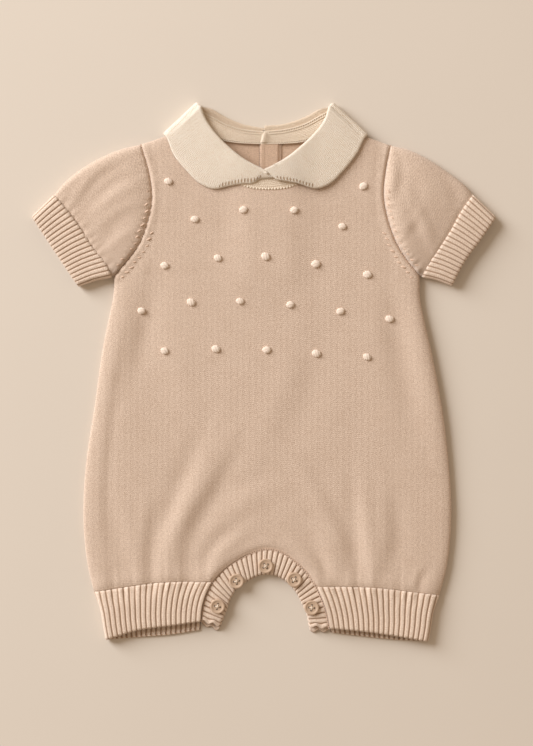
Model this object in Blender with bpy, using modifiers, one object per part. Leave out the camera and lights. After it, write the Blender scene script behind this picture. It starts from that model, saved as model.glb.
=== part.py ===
"""Baby romper in fine knit, laid flat on its back with the front up.

Frame: +Y points to the neck, +Z up from the surface it lies on, origin under the middle of its outline.
The back panel, the back of the collar and the back buttons rest on Z = 0. Every cloth piece is its outer
surface, given a wall by Solidify, and neighbouring pieces stay a seam gap apart. Tables are in millimetres.
"""

import math

import bmesh
import bpy
import numpy as np
from mathutils import Matrix, Vector, geometry

MM = 0.001

# driving dimensions, metres
KNIT_WALL = 1.4 * MM
RIB_WALL = 1.8 * MM
SEAM_GAP = 0.3 * MM
FRONT_TOP = 5.1 * MM  # top of the front panel above the surface, away from folds
BACK_RAISE = 1.9 * MM  # how far the back collar and the back buttons lift the back panel
PLACKET_RAISE = 1.4 * MM  # how far the button bands lift the front panel over them
SIDE_ROLL = 4.0 * MM  # width over which a side edge rounds over
COLLAR_STACK = KNIT_WALL * 2 + 0.55 * MM  # collar roll, outer face of the fall to inner face of the stand
STAND_LENGTH = 2.6 * MM
COLLAR_LIFT = 0.5 * MM  # from the front panel up to the collar
PANEL_GRID = 14.0 * MM

# button: 18-ligne with four holes
BUTTON_RADIUS = 5.75 * MM
BUTTON_THICK = 2.2 * MM
BUTTON_DISH_RADIUS = 3.9 * MM
BUTTON_DISH_DEPTH = 0.5 * MM
BUTTON_HOLE_RADIUS = 0.7 * MM
BUTTON_HOLE_OFFSET = 1.35 * MM
BACK_BUTTON_RADIUS = 5.0 * MM
BACK_BUTTON_THICK = 1.6 * MM

# colours, linear
OAT = (0.60, 0.43, 0.31)
OAT_RIB = (0.57, 0.41, 0.29)
CREAM = (0.86, 0.75, 0.60)
BUTTON_TAN = (0.55, 0.38, 0.26)

# seam lines and edges of the garment, each a smooth curve through (x, y) points in millimetres
EDGES = {
    "side_left": [(-116.3, 75.0), (-117.2, 60), (-125, 21), (-132, -27.5), (-138.4, -71), (-140.6, -112),
                  (-137.6, -148), (-132.4, -171)],
    "side_right": [(121.2, 75.0), (121.4, 58), (131.6, 10), (139.4, -33), (144.8, -83), (145.8, -115),
                   (142.6, -150), (136.6, -173.5)],
    "armhole_left": [(-95.8, 177.0), (-89.7, 157), (-87.0, 136), (-89.7, 119.5), (-96.7, 100), (-107, 85.8),
                     (-116.3, 75.0)],
    "armhole_right": [(98.6, 176.2), (95.0, 158), (93.1, 138), (96.4, 118.5), (103.6, 99), (113.2, 84.2),
                      (121.2, 75.0)],
    "shoulder_left": [(-95.8, 177.0), (-79, 182.5), (-56, 190.5)],
    "shoulder_right": [(98.6, 176.2), (81.4, 182.2), (57, 190.5)],
    "neck_front": [(-56, 190.5), (-46, 172), (-31, 153.5), (-14, 144.2), (4.5, 142.2), (22, 144.6), (37, 155),
                   (49, 172), (57, 190.5)],
    "neck_back_left": [(-56, 190.5), (-42, 184.4), (-24, 180), (-3.4, 178.2)],
    "neck_back_right": [(57, 190.5), (43, 184.4), (28, 180), (11.4, 178.4)],
    "sleeve_top_left": [(-95.8, 177.0), (-111, 173.3), (-126, 167.2), (-143.5, 157), (-156, 146.6),
                        (-163, 138)],
    "sleeve_top_right": [(98.6, 176.2), (111.4, 173.3), (126, 166.4), (142, 156), (155.5, 145.8),
                         (162.4, 138.2)],
    "cuff_seam_left": [(-163, 138), (-154.4, 128), (-143, 113), (-133, 97.4), (-122, 83.4), (-117.2, 76.8)],
    "cuff_seam_right": [(162.4, 138.2), (153, 124.6), (144.4, 109), (135, 94.4), (127, 82.6), (122.0, 77.0)],
    "cuff_open_left": [(-180.6, 120.6), (-171, 106), (-159, 88), (-151, 76), (-144.3, 66.3)],
    "cuff_open_right": [(180.6, 120.2), (168.5, 102.6), (159, 90), (152.6, 79.4), (146.2, 66.9)],
    "leg_seam_left": [(-39.9, -163.4), (-60, -162.9), (-84, -164.0), (-110, -167.6), (-132.4, -171)],
    "leg_seam_right": [(40.5, -167.0), (62, -166.9), (88, -167.8), (114, -170.8), (136.6, -173.5)],
    "arch_left": [(-39.9, -163.4), (-45.4, -174.6), (-47.9, -184), (-48.8, -194)],
    "arch_right": [(40.5, -167.0), (44.6, -176), (48.4, -187), (50.9, -199.6)],
    "arch_top": [(-39.9, -163.4), (-33, -155.2), (-23, -147.7), (-12, -141.6), (2, -137.6), (13.9, -140.3),
                 (24, -147.4), (33.6, -156.8), (40.5, -167.0)],
    "leg_side_left": [(-132.4, -171), (-127.6, -184), (-125.0, -198), (-123.2, -208.6)],
    "leg_side_right": [(136.6, -173.5), (132.0, -185), (129.6, -199), (127.6, -209.8)],
    "hem_front_left": [(-48.8, -194.6), (-71, -197.7), (-98, -201.2), (-123.2, -208.6)],
    "hem_front_right": [(50.9, -200.2), (76, -202.2), (102, -205.6), (127.6, -209.8)],
    "hem_back_left": [(-49.4, -201.0), (-72, -204.6), (-98, -206.6), (-123.2, -208.6)],
    "hem_back_right": [(51.6, -203.0), (72, -205.4), (100, -208.4), (127.6, -209.8)],
}

# crotch band: centre line runs along the arch, a row for each station with its outer and inner edge
#                 outer x, outer y, inner x, inner y
CROTCH_BAND = [
    (-48.8, -194.0, -35.0, -197.4),
    (-47.9, -184.0, -29.6, -187.0),
    (-45.4, -174.6, -25.6, -175.6),
    (-39.9, -163.4, -19.6, -166.6),
    (-28.0, -151.2, -11.6, -161.6),
    (-12.0, -141.6, -4.6, -158.2),
    (2.0, -137.6, 1.8, -157.2),
    (13.9, -140.3, 9.0, -158.0),
    (27.0, -150.2, 16.0, -161.8),
    (40.5, -167.0, 23.8, -169.6),
    (44.6, -176.0, 28.4, -178.0),
    (48.4, -187.0, 33.0, -188.0),
    (50.9, -199.6, 35.6, -198.2),
]
BACK_BAND_DROP = 1.2 * MM  # the back band shows this far below the front band
BACK_BAND_ENDS = 5.0 * MM  # and this far at the hems

# collar halves: a row for each station from the front end over the shoulder, roll edge and outer edge
#              roll x, roll y, outer x, outer y
COLLAR_LEFT_FRONT = [
    (7.0, 151.2, 3.6, 150.2),
    (0.6, 156.7, -6.4, 147.2),
    (-7.0, 160.4, -15.6, 146.4),
    (-17.0, 166.4, -27.0, 144.2),
    (-27.0, 174.6, -39.0, 142.0),
    (-34.6, 182.0, -50.0, 146.4),
    (-41.0, 190.0, -60.0, 156.0),
    (-47.0, 199.6, -70.6, 169.0),
    (-52.3, 210.4, -78.8, 185.5),
]
COLLAR_RIGHT_FRONT = [
    (-0.4, 157.2, 9.4, 148.8),
    (7.0, 160.6, 15.0, 148.0),
    (18.0, 166.8, 27.0, 145.8),
    (29.0, 175.6, 40.4, 142.2),
    (37.4, 183.6, 51.0, 145.8),
    (43.6, 190.8, 62.0, 156.4),
    (48.6, 199.4, 72.4, 169.6),
    (53.7, 210.2, 81.2, 184.8),
]
COLLAR_LEFT_BACK = [
    (-52.3, 210.4, -78.8, 185.5),
    (-43.0, 206.6, -70.0, 168.0),
    (-31.0, 199.4, -52.0, 154.0),
    (-17.0, 193.4, -28.0, 149.0),
    (-2.8, 190.4, -2.8, 148.0),
]
COLLAR_RIGHT_BACK = [
    (53.7, 210.2, 81.2, 184.8),
    (45.0, 206.4, 72.0, 168.0),
    (33.0, 199.2, 54.0, 154.0),
    (16.0, 193.2, 26.0, 149.0),
    (-2.0, 190.8, -2.0, 148.0),
]
RIGHT_OVER_LEFT = KNIT_WALL + SEAM_GAP + 0.2 * MM  # the right end of the collar lies over the left end

# back opening
NECKBAND = {
    "top_front": [(-52.6, 203.4), (-49.4, 194.6), (-41.6, 183.2), (-31.6, 172.0), (-19.6, 162.6),
                  (-8.0, 156.4), (2.0, 153.4), (11.0, 157.0), (21.0, 162.8), (33.6, 172.4), (43.6, 183.4),
                  (50.6, 194.6), (54.0, 203.4)],
    "top_back_left": [(-52.6, 203.4), (-42.0, 197.8), (-30.0, 191.4), (-16.5, 187.2), (-2.8, 185.6)],
    "top_back_right": [(54.0, 203.4), (43.6, 197.8), (31.6, 191.4), (16.0, 187.2), (-2.0, 185.6)],
    "low_back_left": [(-56, 190.5), (-42, 184.4), (-24, 180), (-2.8, 178.5)],
    "low_back_right": [(57, 190.5), (43, 184.4), (28, 180), (-2.0, 178.5)],
}

PLACKET_LEFT = -3.4 * MM
PLACKET_RIGHT = 11.4 * MM
PLACKET_END = 84.0 * MM
PLACKET_INNER_RIGHT = 14.0 * MM
PLACKET_MIDDLE = (PLACKET_LEFT + PLACKET_RIGHT) / 2

# main folds of the front panel: height, half width, points along the crest or the trough (millimetres)
FOLDS = [
    (1.3, 8, [(-81, -160), (-78, -126), (-63, -95), (-46, -56)]),
    (-1.1, 12, [(-66, -160), (-60, -125), (-40, -88), (-23, -58)]),
    (-0.6, 8, [(-91, -157), (-91, -128), (-89, -100)]),
    (0.8, 9, [(-103, -160), (-110, -125), (-114, -98)]),
    (1.0, 8, [(-46, -156), (-34, -136), (-19, -122)]),
    (-1.1, 7, [(51, -163), (37, -143), (21, -127)]),
    (-1.1, 9, [(67, -157), (61, -130), (46, -97), (34, -80)]),
    (1.0, 8, [(55, -157), (45, -135), (34, -119)]),
    (1.3, 8, [(80, -163), (76, -125), (73, -86)]),
    (-0.8, 9, [(95, -155), (99, -125), (97, -92)]),
    (0.8, 13, [(106, 62), (115, 10), (129, -60)]),
]

# sleeves: height of the puff above the surface and folds
SLEEVE_TOP = 6.6 * MM
CUFF_TOP = 5.6 * MM
HEM_TOP = 5.4 * MM
BAND_TOP = 4.4 * MM  # crotch band, at its edges
BAND_CROWN = 0.35 * MM

# buttons on the crotch band and under the back opening, millimetres
CROTCH_BUTTONS = [(-36.1, -182.1), (-21.4, -162.5), (1.3, -150.7), (23.5, -161.3), (37.0, -183.1)]
BACK_BUTTONS = [(4.0, 139.0), (4.0, 117.0), (4.0, 95.0)]

# shares of a seam at which the pieces on its two sides have points
RING_STEPS = [0, 0.010, 0.035, 0.12, 0.22, 0.33, 0.44, 0.56, 0.67, 0.78, 0.88, 0.965, 0.990, 1]
STRIP_STEPS = [0, 0.11, 0.22, 0.33, 0.44, 0.55, 0.66, 0.77, 0.88, 0.96, 0.988, 1]
NECK_STEPS = [0, 0.004, 0.012, 0.06, 0.13, 0.2, 0.28, 0.36, 0.44, 0.52, 0.6, 0.68, 0.76, 0.83, 0.89, 0.945,
              0.988, 0.996, 1]
HALF_NECK_STEPS = [0, 0.010, 0.032, 0.2, 0.4, 0.6, 0.8, 1]
SLEEVE_ROWS = 6
RIB_ROWS = 3
LEG_ROWS = 4

parts = None


def clear_scene():
    for obj in list(bpy.data.objects):
        bpy.data.objects.remove(obj)
    for coll in list(bpy.data.collections):
        bpy.data.collections.remove(coll)


def smooth(low, high, value):
    """Soft step from 0 at low to 1 at high."""
    t = min(max((value - low) / (high - low), 0.0), 1.0)
    return t * t * (3 - 2 * t)


def dense_curve(points, steps=14):
    """Smooth curve through the points as a fine polyline, in metres."""
    pts = np.array(points, dtype=float) * MM
    if len(pts) == 2:
        share = np.linspace(0, 1, steps + 1)[:, None]
        return pts[0] * (1 - share) + pts[1] * share
    knots = np.concatenate([[0], np.cumsum(np.linalg.norm(np.diff(pts, axis=0), axis=1) ** 0.5)])
    slopes = np.gradient(pts, knots, axis=0)
    line = []
    for i in range(len(pts) - 1):
        span = knots[i + 1] - knots[i]
        for t in np.linspace(0, 1, steps, endpoint=False):
            h00 = 2 * t ** 3 - 3 * t ** 2 + 1
            h10 = t ** 3 - 2 * t ** 2 + t
            h01 = -2 * t ** 3 + 3 * t ** 2
            h11 = t ** 3 - t ** 2
            line.append(h00 * pts[i] + h10 * span * slopes[i] + h01 * pts[i + 1] + h11 * span * slopes[i + 1])
    line.append(pts[-1])
    return np.array(line)


def along(line, shares):
    """Points at the given shares of a polyline's length."""
    lengths = np.concatenate([[0], np.cumsum(np.linalg.norm(np.diff(line, axis=0), axis=1))])
    where = np.array(shares) * lengths[-1]
    return np.stack([np.interp(where, lengths, line[:, k]) for k in range(line.shape[1])], axis=1)


def edge(name, shares):
    return along(dense_curve(EDGES[name]), shares)


def even(count):
    return np.linspace(0, 1, count)


def distance_to(line, x, y):
    """Distance from a point to a polyline, and the share of its length where it is nearest."""
    a = line[:-1]
    step = line[1:] - a
    length = np.linalg.norm(step, axis=1)
    p = np.array([x, y]) - a
    t = np.clip((p * step).sum(axis=1) / length ** 2, 0, 1)
    gap = np.linalg.norm(p - step * t[:, None], axis=1)
    i = int(np.argmin(gap))
    return gap[i], (length[:i].sum() + t[i] * length[i]) / length.sum()


FOLD_LINES = [(height * MM, width * MM, dense_curve(points, 5)) for height, width, points in FOLDS]
ROLLED_LINES = [dense_curve(EDGES[name], 6) for name in
                ("side_left", "side_right", "shoulder_left", "shoulder_right")]


def back_bottom(x, y):
    """Height of the back panel's outer face, lifted where the collar or the back buttons lie under it."""
    over_collar = smooth(112 * MM, 133 * MM, y) * smooth(90 * MM, 81 * MM, abs(x))
    over_buttons = smooth(26 * MM, 12 * MM, abs(x - PLACKET_MIDDLE)) * smooth(66 * MM, 84 * MM, y)
    return BACK_RAISE * max(over_collar, over_buttons)


def front_top(x, y):
    """Height of the front panel's outer face with its folds."""
    over_bands = smooth(34 * MM, 17 * MM, abs(x - PLACKET_MIDDLE)) * smooth(58 * MM, 80 * MM, y)
    z = FRONT_TOP + 0.12 * back_bottom(x, y) + PLACKET_RAISE * over_bands
    for height, width, line in FOLD_LINES:
        gap, share = distance_to(line, x, y)
        z += height * math.exp(-((gap / width) ** 2)) * math.sin(math.pi * (0.12 + 0.84 * share))
    return z


def round_over(gap, width):
    """Quarter-round rise from 0 at an edge to 1 at the given width."""
    t = 1 - min(gap / width, 1.0)
    return math.sqrt(max(0.0, 1 - t * t))


def side_rise(x, y):
    return round_over(min(distance_to(line, x, y)[0] for line in ROLLED_LINES), SIDE_ROLL)


def seam_half(loft):
    """Half the height between the two panels' outer faces at a side seam: more where they lie closer."""
    return (1.0 + 0.5 * smooth(5.1 * MM, 3.4 * MM, loft)) * MM


def front_face(x, y):
    top, bottom = front_top(x, y), back_bottom(x, y)
    low = (top + bottom) / 2 + seam_half(top - bottom)
    return low + (top - low) * side_rise(x, y)


def back_face(x, y):
    top, bottom = front_top(x, y), back_bottom(x, y)
    high = (top + bottom) / 2 - seam_half(top - bottom)
    return high - (high - bottom) * side_rise(x, y)


def material(name, colour, roughness):
    mat = bpy.data.materials.new(name)
    mat.use_nodes = True
    shader = mat.node_tree.nodes["Principled BSDF"]
    shader.inputs["Base Color"].default_value = (*colour, 1)
    shader.inputs["Roughness"].default_value = roughness
    shader.inputs["Metallic"].default_value = 0.0
    return mat


def add_mesh(name, verts, faces, colour, roughness=0.9):
    mesh = bpy.data.meshes.new(name)
    mesh.from_pydata([tuple(v) for v in verts], [], faces)
    mesh.update()
    obj = bpy.data.objects.new(name, mesh)
    parts.objects.link(obj)
    mesh.materials.append(material(name + "_finish", colour, roughness))
    mesh.shade_smooth()
    return obj


def give_wall(obj, wall):
    solid = obj.modifiers.new("Wall", "SOLIDIFY")
    solid.thickness = wall
    solid.offset = -1
    return obj


def sheet(name, grid, colour, wall, wrap=False, flip=False, skip=()):
    """Cloth from a grid of points, rows by columns, its faces out; skip leaves out (row, column) faces."""
    rows, cols = len(grid), len(grid[0])
    verts = [p for row in grid for p in row]
    faces = []
    for i in range(rows - 1):
        for j in range(cols if wrap else cols - 1):
            if (i, j) in skip:
                continue
            k = (j + 1) % cols
            quad = (i * cols + j, i * cols + k, (i + 1) * cols + k, (i + 1) * cols + j)
            faces.append(quad[::-1] if flip else quad)
    used = sorted({v for f in faces for v in f})
    renumber = {v: n for n, v in enumerate(used)}
    faces = [tuple(renumber[v] for v in f) for f in faces]
    return give_wall(add_mesh(name, [verts[v] for v in used], faces, colour), wall)


def coons(start, end, near, far):
    """Plan points filling four edges: start and end run along a row, near and far down the rows."""
    rows, cols = len(near), len(start)
    s = np.concatenate([[0], np.cumsum(np.linalg.norm(np.diff(start, axis=0), axis=1))])
    s = s / s[-1]
    grid = np.zeros((rows, cols, 2))
    for i in range(rows):
        u = i / (rows - 1)
        for j in range(cols):
            v = s[j]
            rails = (1 - u) * start[j] + u * end[j] + (1 - v) * near[i] + v * far[i]
            corners = ((1 - u) * ((1 - v) * start[0] + v * start[-1]) + u * ((1 - v) * end[0] + v * end[-1]))
            grid[i, j] = rails - corners
    return grid


def inset(points, distances):
    """Closed outline moved inward, each point by its own distance."""
    pts = np.array(points)
    before = pts - np.roll(pts, 1, axis=0)
    after = np.roll(pts, -1, axis=0) - pts
    before /= np.linalg.norm(before, axis=1)[:, None]
    after /= np.linalg.norm(after, axis=1)[:, None]
    tangent = before + after
    tangent /= np.linalg.norm(tangent, axis=1)[:, None]
    normal = np.stack([-tangent[:, 1], tangent[:, 0]], axis=1)
    area = 0.5 * np.sum(pts[:, 0] * np.roll(pts[:, 1], -1) - np.roll(pts[:, 0], -1) * pts[:, 1])
    side = 1 if area > 0 else -1
    widen = 1 / np.clip((tangent * after).sum(axis=1), 0.5, 1)
    return pts + side * normal * (np.array(distances) * widen)[:, None]


def inside(outline, x, y):
    hit = False
    for (ax, ay), (bx, by) in zip(outline, np.roll(outline, -1, axis=0)):
        if (ay > y) != (by > y) and x < (bx - ax) * (y - ay) / (by - ay) + ax:
            hit = not hit
    return hit


def fill(name, outline, inner_points, height, colour, face_up):
    """Panel: the outline filled with triangles through the inner points, at the given heights."""
    count = len(outline)
    plan = [Vector(p) for p in outline] + [Vector(p) for p in inner_points]
    rim = [(i, (i + 1) % count) for i in range(count)]
    verts, _, faces, _, _, _ = geometry.delaunay_2d_cdt(plan, rim, [], 1, 1e-8)
    placed = [(v.x, v.y, height(v.x, v.y)) for v in verts]
    faces = [tuple(f) if face_up else tuple(reversed(f)) for f in faces]
    return give_wall(add_mesh(name, placed, faces, colour), KNIT_WALL)


def grid_inside(outline, spacing, clearance):
    """Staggered grid of points inside an outline, clear of its rim."""
    low, high = outline.min(axis=0), outline.max(axis=0)
    closed = np.vstack([outline, outline[:1]])
    points = []
    row = 0
    y = low[1] + spacing / 2
    while y < high[1]:
        x = low[0] + spacing * (0.5 if row % 2 else 1.0)
        while x < high[0]:
            if inside(outline, x, y) and distance_to(closed, x, y)[0] > clearance:
                points.append((x, y))
            x += spacing
        y += spacing * math.sqrt(3) / 2
        row += 1
    return points


def rim_points(outline, rolled, offsets):
    """Rows of points just inside the rolled stretches of an outline."""
    points = []
    for off in offsets:
        moved = inset(outline, [off] * len(outline))
        points += [tuple(p) for p, turn in zip(moved, rolled) if turn]
    return points


def body_outline(back):
    """Outline of a body panel, counter-clockwise from the left underarm, and the stretches that roll."""
    side_steps = even(18)
    pieces = [
        (edge("side_left", side_steps), True),
        (edge("leg_seam_left", STRIP_STEPS)[::-1], False),
        (edge("arch_top", even(17)), False),
        (edge("leg_seam_right", STRIP_STEPS), False),
        (edge("side_right", side_steps)[::-1], True),
        (edge("armhole_right", RING_STEPS)[::-1], False),
        (edge("shoulder_right", even(5)), True),
    ]
    if back:
        neck_y = EDGES["neck_back_left"][-1][1] * MM
        corners = [(PLACKET_RIGHT, neck_y), (PLACKET_RIGHT, PLACKET_END), (PLACKET_LEFT, PLACKET_END),
                   (PLACKET_LEFT, neck_y)]
        pieces += [
            (edge("neck_back_right", HALF_NECK_STEPS), False),
            (along(np.array(corners[:2]), even(7))[1:], False),
            (along(np.array(corners[2:]), even(7))[:-1], False),
            (edge("neck_back_left", HALF_NECK_STEPS)[::-1], False),
        ]
    else:
        pieces.append((edge("neck_front", NECK_STEPS)[::-1], False))
    pieces += [
        (edge("shoulder_left", even(5))[::-1], True),
        (edge("armhole_left", RING_STEPS), False),
    ]
    points, rolled = [], []
    for line, turn in pieces:
        for p in line:
            if points and np.linalg.norm(p - points[-1]) < 0.05 * MM:
                rolled[-1] = False
                continue
            points.append(p)
            rolled.append(turn)
    if np.linalg.norm(points[0] - points[-1]) < 0.05 * MM:
        points.pop()
        rolled.pop()
        rolled[0] = False
    return np.array(points), rolled


def body_panel(back):
    outline, rolled = body_outline(back)
    trimmed = inset(outline, [0 if turn else SEAM_GAP / 2 for turn in rolled])
    rows = rim_points(outline, rolled, [0.7 * MM, 1.9 * MM, SIDE_ROLL])
    if back:
        fine = [p for p in grid_inside(trimmed, 15.0 * MM, 7 * MM) if p[1] > 52 * MM]
        coarse = [p for p in grid_inside(trimmed, 34.0 * MM, 12 * MM) if p[1] < 40 * MM]
        fill("back_panel", trimmed, rows + fine + coarse, back_face, OAT, False)
    else:
        inner = grid_inside(trimmed, PANEL_GRID, 7 * MM)
        fill("front_panel", trimmed, rows + inner, front_face, OAT, True)


def ring_heights(top, share, roll):
    """Heights of the front and the back of a flattened tube at a share of its width."""
    rise = min(round_over(share, roll), round_over(1 - share, roll))
    return top * (0.5 + 0.5 * rise), top * (0.5 - 0.5 * rise)


def tube_from_plan(name, plan, tops, colour, wall, flip):
    """Flattened tube: every row of plan points is its width, front over and back under."""
    grid = []
    for i, row in enumerate(plan):
        front, rear = [], []
        for j, (x, y) in enumerate(row):
            high, low = ring_heights(tops(i, j, x, y), RING_STEPS[j], RING_STEPS[2])
            front.append((x, y, high))
            rear.append((x, y, low))
        grid.append(front + rear[-2:0:-1])
    return sheet(name, grid, colour, wall, wrap=True, flip=flip)


def move_ends(plan, distance):
    """Draws the first and the last row of a plan in by the given distance, leaving room for the seams."""
    plan = plan.copy()
    for end, towards in ((0, 1), (-1, -2)):
        step = plan[towards] - plan[end]
        length = np.maximum(np.linalg.norm(step, axis=1), 1e-9)[:, None]
        plan[end] += step / length * np.minimum(distance, length * 0.4)
    return plan


def sleeve(side, flip):
    armhole = edge("armhole_" + side, RING_STEPS)
    seam = edge("cuff_seam_" + side, RING_STEPS)
    top_edge = edge("sleeve_top_" + side, even(SLEEVE_ROWS))
    under = along(np.array([armhole[-1], seam[-1]]), even(SLEEVE_ROWS))
    plan = move_ends(coons(armhole, seam, top_edge, under), SEAM_GAP * 0.7)

    def tops(i, j, x, y):
        share = i / (SLEEVE_ROWS - 1)
        puff = math.sin(math.pi * share) ** 0.7
        at_body = FRONT_TOP * (1 - share) + CUFF_TOP * share
        return at_body + (SLEEVE_TOP - at_body) * puff * math.sin(math.pi * RING_STEPS[j]) ** 0.5

    tube_from_plan("sleeve_" + side, plan, tops, OAT, KNIT_WALL, flip)


def sleeve_cuff(side, flip):
    seam = edge("cuff_seam_" + side, RING_STEPS)
    opening = edge("cuff_open_" + side, RING_STEPS)
    top_edge = along(np.array([seam[0], opening[0]]), even(RIB_ROWS))
    low_corner = np.array([[-119.0 if side == "left" else 124.0, 71.4]]) * MM
    seam_low = seam.copy()
    seam_low[-1] = low_corner[0] + np.array([1.2 * MM if side == "left" else -1.2 * MM, 2.2 * MM])
    middle = (seam_low[-1] * 0.55 + opening[-1] * 0.45) / MM + [0, 0.9]
    under = dense_curve([tuple(seam_low[-1] / MM), tuple(middle), tuple(opening[-1] / MM)])
    plan = coons(seam_low, opening, top_edge, along(under, even(RIB_ROWS)))
    plan = move_ends(plan, SEAM_GAP * 0.7)
    tube_from_plan("cuff_" + side, plan, lambda i, j, x, y: CUFF_TOP, OAT_RIB, RIB_WALL, flip)


def leg_cuff(side, flip):
    """Ribbed strip folded round the leg's outer side, its two inner ends sewn to the crotch bands."""
    seam = edge("leg_seam_" + side, STRIP_STEPS)
    outer = edge("leg_side_" + side, even(LEG_ROWS))
    inner = edge("arch_" + side, even(LEG_ROWS))
    gap = SEAM_GAP / 2 * (-1 if side == "left" else 1)
    inner = inner + np.array([gap, 0])
    seam = seam.copy()
    seam[0] = inner[0]
    layers = []
    for layer in ("front", "back"):
        hem = edge("hem_" + layer + "_" + side, STRIP_STEPS)
        near = inner.copy()
        if layer == "back":
            near[-1] = hem[0] + np.array([gap, 0])
        hem[0] = near[-1]
        plan = coons(seam, hem, near, outer)
        layers.append(move_ends(plan, SEAM_GAP * 0.7))
    grid = []
    last = len(layers[0]) - 1
    for i in range(last + 1):
        front, rear = [], []
        for j, share in enumerate(STRIP_STEPS):
            x, y = layers[0][i, j]
            top = front_top(x, layers[0][0, j][1]) * (1 - i / last) + HEM_TOP * i / last
            rise = round_over(1 - share, 1 - STRIP_STEPS[-3])
            front.append((x, y, top * (0.5 + 0.5 * rise)))
            x, y = layers[1][i, j]
            rear.append((x, y, top * (0.5 - 0.5 * rise)))
        grid.append(front + rear[-2::-1])
    sheet("leg_cuff_" + side, grid, OAT_RIB, RIB_WALL, flip=flip)


def crotch_band(layer):
    """Ribbed button band along the arch; the front one lies over the back one."""
    rows = np.array(CROTCH_BAND)
    outer = dense_curve(rows[:, :2], 8)
    inner = dense_curve(rows[:, 2:], 8)
    shares = even(33)
    outer, inner = along(outer, shares), along(inner, shares)
    grid = []
    for t in (0.035, 0.5, 1):
        line = outer * (1 - t) + inner * t
        row = []
        for share, (x, y) in zip(shares, line):
            if layer == "front":
                row.append((x, y, BAND_TOP + BAND_CROWN * math.sin(math.pi * t)))
            else:
                lower = BACK_BAND_DROP * t + BACK_BAND_ENDS * smooth(0.4, 0.5, abs(share - 0.5))
                row.append((x, y - lower, RIB_WALL))
        grid.append(row)
    sheet("crotch_band_" + layer, grid, OAT_RIB, RIB_WALL, flip=True)


def neckband():
    """Band round the neck, open at the centre back and folded at both shoulders."""
    strips = []
    for low_line, top_line, steps in (
        (NECKBAND["low_back_left"], NECKBAND["top_back_left"], HALF_NECK_STEPS),
        (EDGES["neck_front"], NECKBAND["top_front"], NECK_STEPS),
        (NECKBAND["low_back_right"], NECKBAND["top_back_right"], HALF_NECK_STEPS),
    ):
        low, high = along(dense_curve(low_line), steps), along(dense_curve(top_line), steps)
        step = high - low
        length = np.linalg.norm(step, axis=1)[:, None]
        strips.append((low + step / length * SEAM_GAP, high))
    rise_back = [0, 0.85, 1, 1, 1, 1, 1, 1]
    rise_front = [0, 0.75, 1] + [1] * 13 + [1, 0.75, 0]
    grid = []
    for t in (0, 0.5, 1):
        columns = []
        for part_index, rises in ((0, rise_back), (1, rise_front), (2, rise_back)):
            low, high = strips[part_index]
            line = low * (1 - t) + high * t
            run = []
            for k, (x, y) in enumerate(line):
                top, bottom = front_top(x, y), back_bottom(x, y)
                middle = (top + bottom) / 2
                target = top if part_index == 1 else bottom
                run.append((x, y, middle + (target - middle) * rises[k]))
            columns.append(run)
        grid.append(columns[0][::-1] + columns[1][1:-1] + columns[2])
    sheet("neckband", grid, CREAM, KNIT_WALL, flip=False)


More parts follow.
